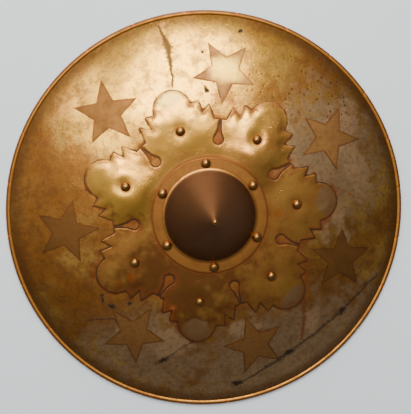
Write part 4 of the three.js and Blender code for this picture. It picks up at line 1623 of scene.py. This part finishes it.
hand_over(bowl, "bowl", "bowl")
hand_over(rim, "rim", "rim_bead")
hand_over(plate, "plate", "lobed_plate")
hand_over(stars, "star", *[f"star_{i + 1}" for i in range(LOBES)])
hand_over(boss, "boss", "boss")
hand_over(ball, "rivet", "boss_ball")
hand_over(plate_rivets, "rivet", *[f"plate_rivet_{i + 1}" for i in range(LOBES)])
hand_over(boss_rivets, "rivet", *[f"boss_rivet_{i + 1}" for i in range(BOSS_RIVETS)])
hand_over(grip, "iron", "grip")
print("pieces handed over: 9")

# %% [markdown]
# ## Floor and light
#
# The shield lies on a pale floor, in slightly warm daylight from three soft lights. A tall window stands
# high beyond the top of the picture, a dimmer curtain to the left of it, and a wide window low behind
# them. The steep upper side of the dome mirrors them, and the lower side mirrors a dim room. That
# contrast is what makes worn metal look like metal, so the light of the room is kept low and falls off
# away from the windows. The floor is pale only in a pool below the windows and is painted dark further
# out, a painted pool of light.

# %% Floor
FLOOR_SIZE = 6.0
FLOOR_COLOUR = colour(0.86, 0.93, 0.99)
FLOOR_PAINTED_DARK = colour(0.10, 0.10, 0.11)
PAINTED_POOL_CENTRE = (0.0, 0.40, 0.0)
PAINTED_POOL_REACH = 0.64
PAINTED_POOL_EDGE = 1.0


def make_floor():
    material, tree, place = start_finish("floor_with_painted_pool")
    cloud = use(tree, clouds, {"Place": place, "Size": 0.12, "Start": 0.3, "End": 0.8})
    look = paint(tree, times(tree, cloud, 0.12), FLOOR_COLOUR, colour(0.70, 0.76, 0.84))
    # Painted light: the floor is pale in a pool below the windows and painted dark further out.
    reach = calc_vector(tree, "DISTANCE", flattened(tree, place), PAINTED_POOL_CENTRE, result="Value")
    look = paint(tree, ramp(tree, reach, PAINTED_POOL_REACH, PAINTED_POOL_EDGE), look, FLOOR_PAINTED_DARK)
    end_finish(tree, look, 0.8, 0.0)
    mesh = bpy.data.meshes.new("floor")
    half = FLOOR_SIZE / 2
    corners = [(-half, -half, 0), (half, -half, 0), (half, half, 0), (-half, half, 0)]
    mesh.from_pydata(corners, [], [(0, 1, 2, 3)])
    mesh.materials.append(material)
    return new_object("floor", mesh)


floor = make_floor()

# %% Lights
WINDOW_DISTANCE = 1.7
DAYLIGHT = (1.0, 0.97, 0.88)
# name, heading, tilt from straight up, turn, width, height, brightness
WINDOWS = [
    ("window", 87, 33.5, -15, 0.77, 1.17, 10.0),
    ("curtain", 131, 33, 0, 0.58, 1.20, 3.0),
    ("low_window", 93, 78, 0, 1.50, 0.32, 5.5),
]
ROOM_HEADING = math.radians(112)
ROOM_TILT = math.radians(50)
ROOM_LOW = 0.2
ROOM_HIGH = 0.75


def direction(heading, tilt):
    """A direction from its compass heading and its tilt from straight up."""
    return Vector((math.sin(tilt) * math.cos(heading), math.sin(tilt) * math.sin(heading), math.cos(tilt)))


def add_window(name, heading, tilt, turn, width, height, brightness):
    light = bpy.data.lights.new(name, "AREA")
    light.shape = "RECTANGLE"
    light.size = width
    light.size_y = height
    light.energy = brightness * math.pi * width * height
    light.color = DAYLIGHT
    lamp = bpy.data.objects.new(name, light)
    scene.collection.objects.link(lamp)
    towards = direction(math.radians(heading), math.radians(tilt))
    lamp.location = towards * WINDOW_DISTANCE
    facing = towards.to_track_quat("Z", "Y").to_matrix() @ Matrix.Rotation(math.radians(turn), 3, "Z")
    lamp.rotation_euler = facing.to_euler()


for window in WINDOWS:
    add_window(*window)


def make_room():
    world = bpy.data.worlds.new("dim_room")
    scene.world = world
    world.use_nodes = True
    tree = world.node_tree
    heading = add(tree, "ShaderNodeTexCoord").outputs["Generated"]
    towards = direction(ROOM_HEADING, ROOM_TILT)
    facing = calc_vector(tree, "DOT_PRODUCT", heading, towards, result="Value")
    room = tree.nodes["Background"].inputs
    put(tree, room["Color"], colour(0.93, 0.95, 1.0))
    put(tree, room["Strength"], ramp(tree, facing, 0.1, 1.0, ROOM_LOW, ROOM_HIGH))


make_room()
print(len(WINDOWS), "soft lights at", WINDOW_DISTANCE, "m")
